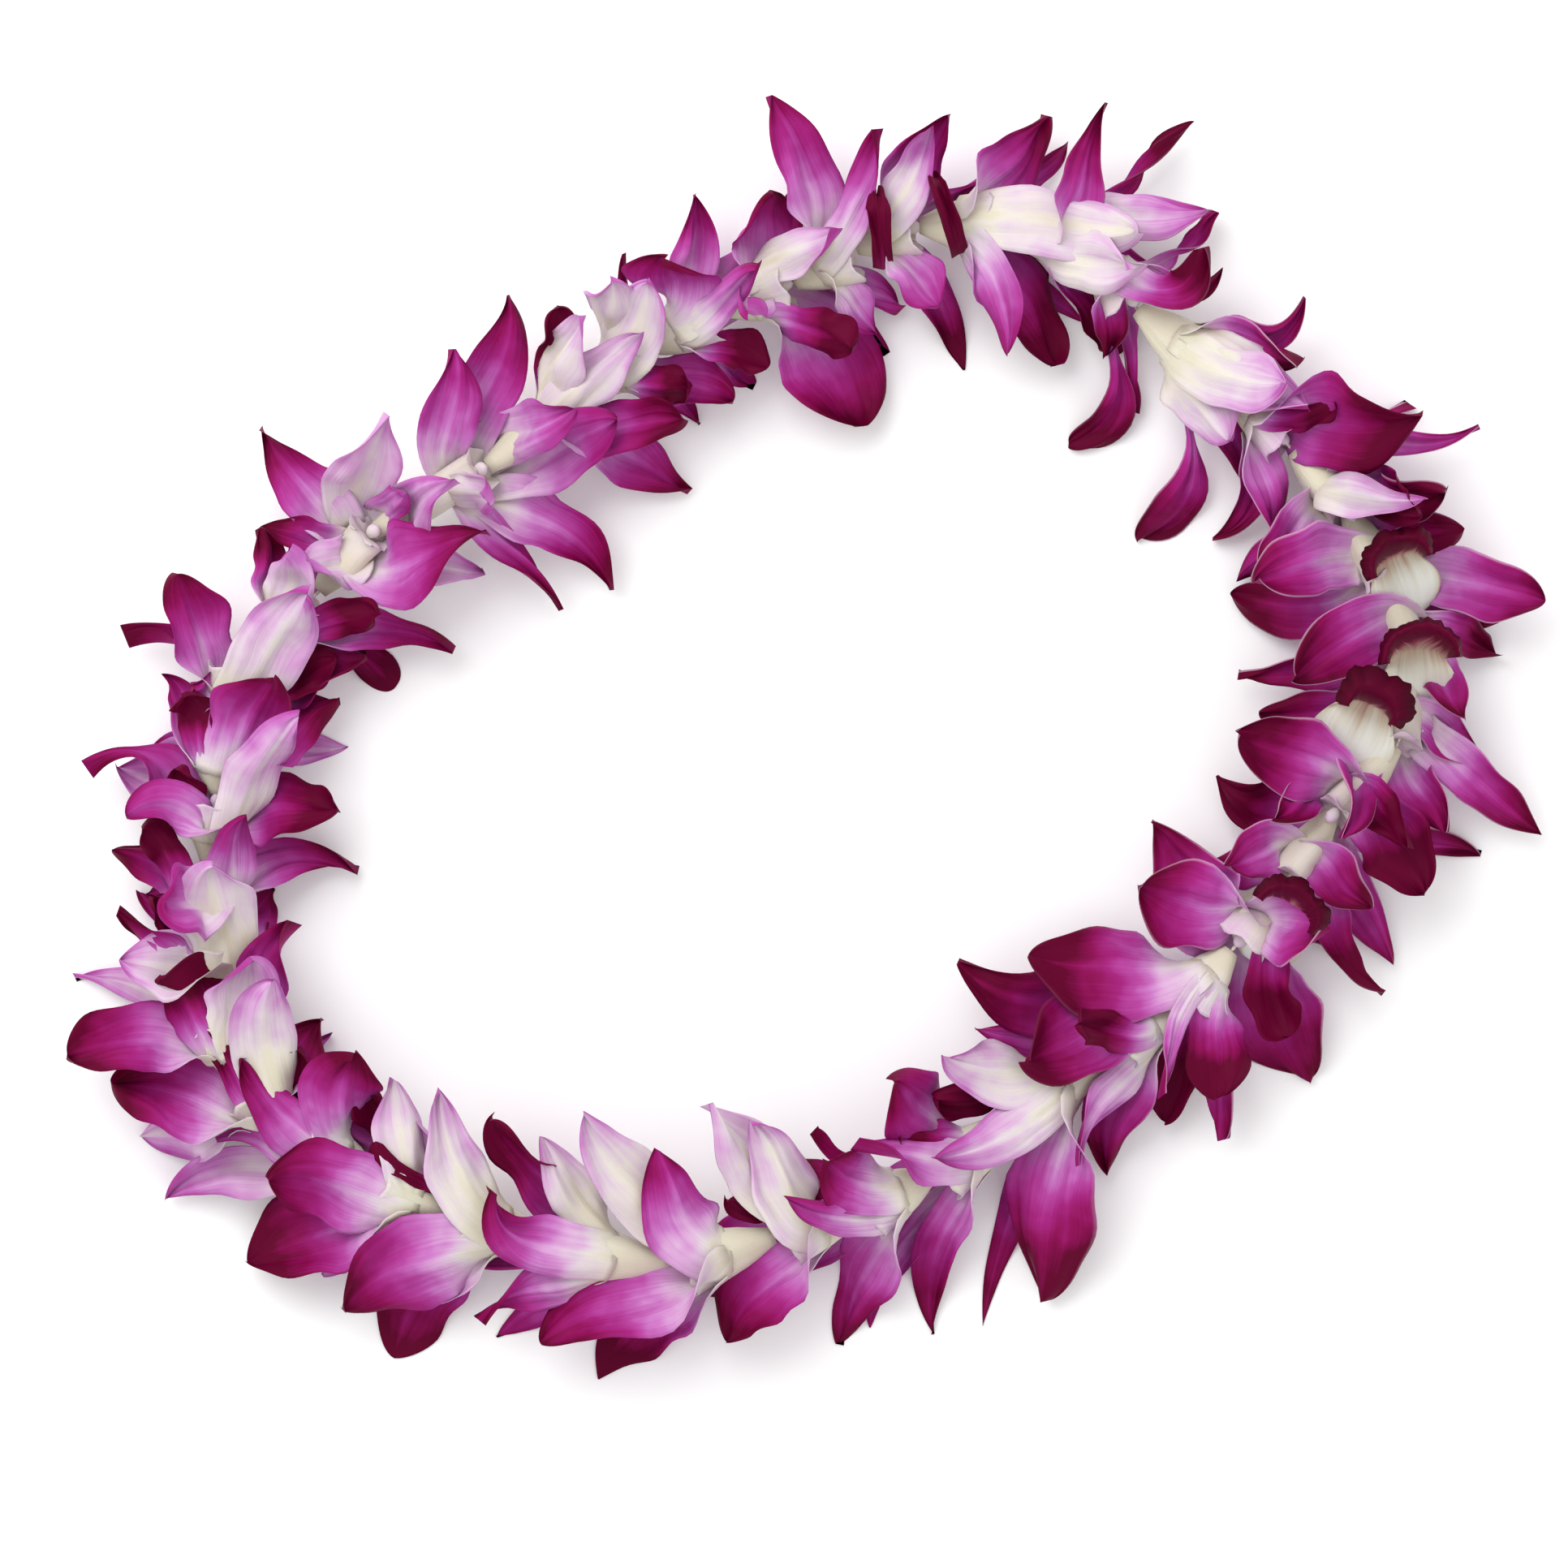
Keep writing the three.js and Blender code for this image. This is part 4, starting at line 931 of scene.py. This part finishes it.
def petal_finish():
    made, tree, shader = material("orchid_petal")
    along, across, tone, seed, inner = (attribute(tree, name) for name in LAYERS)
    place = put(tree, "TexCoord").outputs["Object"]
    from_rib = sum_of(tree, "ABSOLUTE", across)
    vein, fine_vein = veins_of(tree, along, across, seed)
    drift = noise_of(tree, place, 90.0, 2.0)
    region = noise_of(tree, place, 16.0, 0.0)
    grain = noise_of(tree, place, 2600.0, 2.0)
    # how far to the right a point lies: 0 on the left, 1 on the right
    to_the_right = range_of(tree, put(tree, "SeparateXYZ", {"Vector": place}).outputs["X"], *RIGHT_SIDE)

    noises = ((vein, 0.18), (fine_vein, 0.1), (drift, 0.34), (region, 0.24))
    run = run_of(tree, along, from_rib, tone, inner, to_the_right, noises)
    throat = sum_of(tree, "MAXIMUM", along, sum_of(tree, "MULTIPLY", from_rib, SIDEWAYS))
    throat = stirred(tree, throat, ((vein, 0.22), (fine_vein, 0.2)))
    inside_hood = sum_of(tree, "MULTIPLY", range_of(tree, tone, *HOOD_TONE), inner)
    shade = blend_of(tree, inside_hood, ramp(tree, run, PETAL_SHADES), ramp(tree, throat, THROAT_SHADES))
    # painted light: a thin pale line along the margins, for light that passes through them
    lit_edged = blend_of(tree, lit_margin_of(tree, along, from_rib, tone, to_the_right), shade, colour(232, 190, 220))

    height = sum_of(tree, "MULTIPLY_ADD", grain, 0.25, fine_vein)
    bump = put(tree, "Bump", {"Strength": 0.4, "Distance": 0.0004, "Height": height}).outputs[0]
    tree.links.new(lit_edged, shader.inputs["Base Color"])
    tree.links.new(range_of(tree, fine_vein, 0.0, 1.0, 0.42, 0.6), shader.inputs["Roughness"])
    tree.links.new(bump, shader.inputs["Normal"])
    shader.inputs["Specular IOR Level"].default_value = 0.05
    shader.inputs["Subsurface Weight"].default_value = 0.08
    shader.inputs["Subsurface Radius"].default_value = (1.0, 0.2, 0.5)
    shader.inputs["Subsurface Scale"].default_value = 0.001
    return made


petal = petal_finish()
print("nodes in the petals' finish:", len(petal.node_tree.nodes))

# %% [markdown]
# All blooms share one finish, because its colours follow each blade's own numbers, so no two blooms
# look alike. A lei is strung bloom after bloom, and this loop makes one after the other, hangs it on
# the frame's root and hides the plain bloom it stands for.

# %% String the blooms
vertices = 0
for index in range(len(BLOOMS)):
    piece = bloom(index)
    piece.data.materials.append(petal)
    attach(piece, "root")
    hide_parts("bloom_%02d" % (index + 1))
    vertices += len(piece.data.vertices)
print("vertices in all blooms:", vertices)

# %% [markdown]
# The thread is twisted cotton, a millimetre thick, straight through every base and on to the next
# one. It is a closed tube: a small circle is set square across the way at each corner, and every two
# neighbours are bridged. Its ends are tied in a knot inside one bloom's mouth.

# %% Thread
THREAD_RADIUS = 0.5
THREAD_SIDES = 10
KNOT_RADIUS = 1.7
KNOT_AT = 3.7  # the knot's place, as a count of blooms
TWIST = 0.12  # how deep the plies' grooves are against the radius


def add_tube(bm, points, radius, sides):
    """A closed tube round a closed line of points."""
    loops = []
    for k, point in enumerate(points):
        way = (points[(k + 1) % len(points)] - points[k - 1]).normalized()
        ring = bmesh.ops.create_circle(bm, segments=sides, radius=radius)["verts"]
        turn = way.to_track_quat("Z", "Y")
        for vert in ring:
            vert.co = turn @ vert.co + point
        loops.append(list({edge for vert in ring for edge in vert.link_edges}))
    for k, loop in enumerate(loops):
        bmesh.ops.bridge_loops(bm, edges=loop + loops[(k + 1) % len(loops)])


def thread_mesh():
    bm = bmesh.new()
    points = []
    for index in range(len(BLOOMS)):
        axes = axes_of(index)
        points += [axes["base"], (axes["base"] + axes["cup"]) / 2, axes["cup"]]
    add_tube(bm, points, THREAD_RADIUS, THREAD_SIDES)
    for vert in bmesh.ops.create_icosphere(bm, subdivisions=3, radius=KNOT_RADIUS)["verts"]:
        vert.co *= 1 + TWIST * math.sin(3 * math.atan2(vert.co.y, vert.co.x) + 4 * vert.co.z)
        vert.co += route(KNOT_AT)
    return mesh_of(bm, "cotton_thread")


def cotton_finish():
    made, tree, shader = material("cotton")
    place = put(tree, "TexCoord").outputs["Object"]
    ply = put(tree, "TexWave", {"Vector": place, "Scale": 260.0, "Distortion": 2.0}, wave_type="BANDS",
              bands_direction="DIAGONAL").outputs["Fac"]
    shade = ramp(tree, ply, [(0, colour(205, 198, 180)), (1, colour(240, 236, 222))])
    bump = put(tree, "Bump", {"Strength": 0.6, "Distance": 0.0002, "Height": ply}).outputs[0]
    tree.links.new(shade, shader.inputs["Base Color"])
    tree.links.new(bump, shader.inputs["Normal"])
    shader.inputs["Roughness"].default_value = 0.85
    shader.inputs["Sheen Weight"].default_value = 0.3
    return made


thread = place_in_scene("cotton_thread", thread_mesh())
thread.data.materials.append(cotton_finish())
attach(thread, "root")
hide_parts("thread")
print("thread's faces:", len(thread.data.polygons))

# %% [markdown]
# The lei lies on a plain white surface. One broad lamp from the upper left gives the soft shadows at
# the lower right, and a bright even sky fills the rest, as in a small studio tent.

# %% Floor and light
FLOOR_SIZE = 4
bm = bmesh.new()
bmesh.ops.create_grid(bm, x_segments=1, y_segments=1, size=FLOOR_SIZE)
floor_mesh = bpy.data.meshes.new("floor")
bm.to_mesh(floor_mesh)
bm.free()
floor = place_in_scene("floor", floor_mesh)
floor_finish, tree, shader = material("pale_floor")
shader.inputs["Base Color"].default_value = (0.97, 0.97, 0.97, 1)
shader.inputs["Roughness"].default_value = 0.9
floor.data.materials.append(floor_finish)

world = bpy.data.worlds.new("studio")
world.use_nodes = True
world.node_tree.nodes["Background"].inputs["Color"].default_value = (1, 1, 1, 1)
world.node_tree.nodes["Background"].inputs["Strength"].default_value = 1.0
bpy.context.scene.world = world

key = place_in_scene("key", bpy.data.lights.new("key", "AREA"))
key.data.size = 1.1
key.data.energy = 13
key.location = (-0.55, 0.75, 1.25)
key.rotation_euler = (-key.location).to_track_quat("-Z", "Y").to_euler()
print("the lamp is %.2f m away" % key.location.length)

# %% [markdown]
# Last, the scene is brought up to date.

# %% Update the scene
bpy.context.view_layer.update()
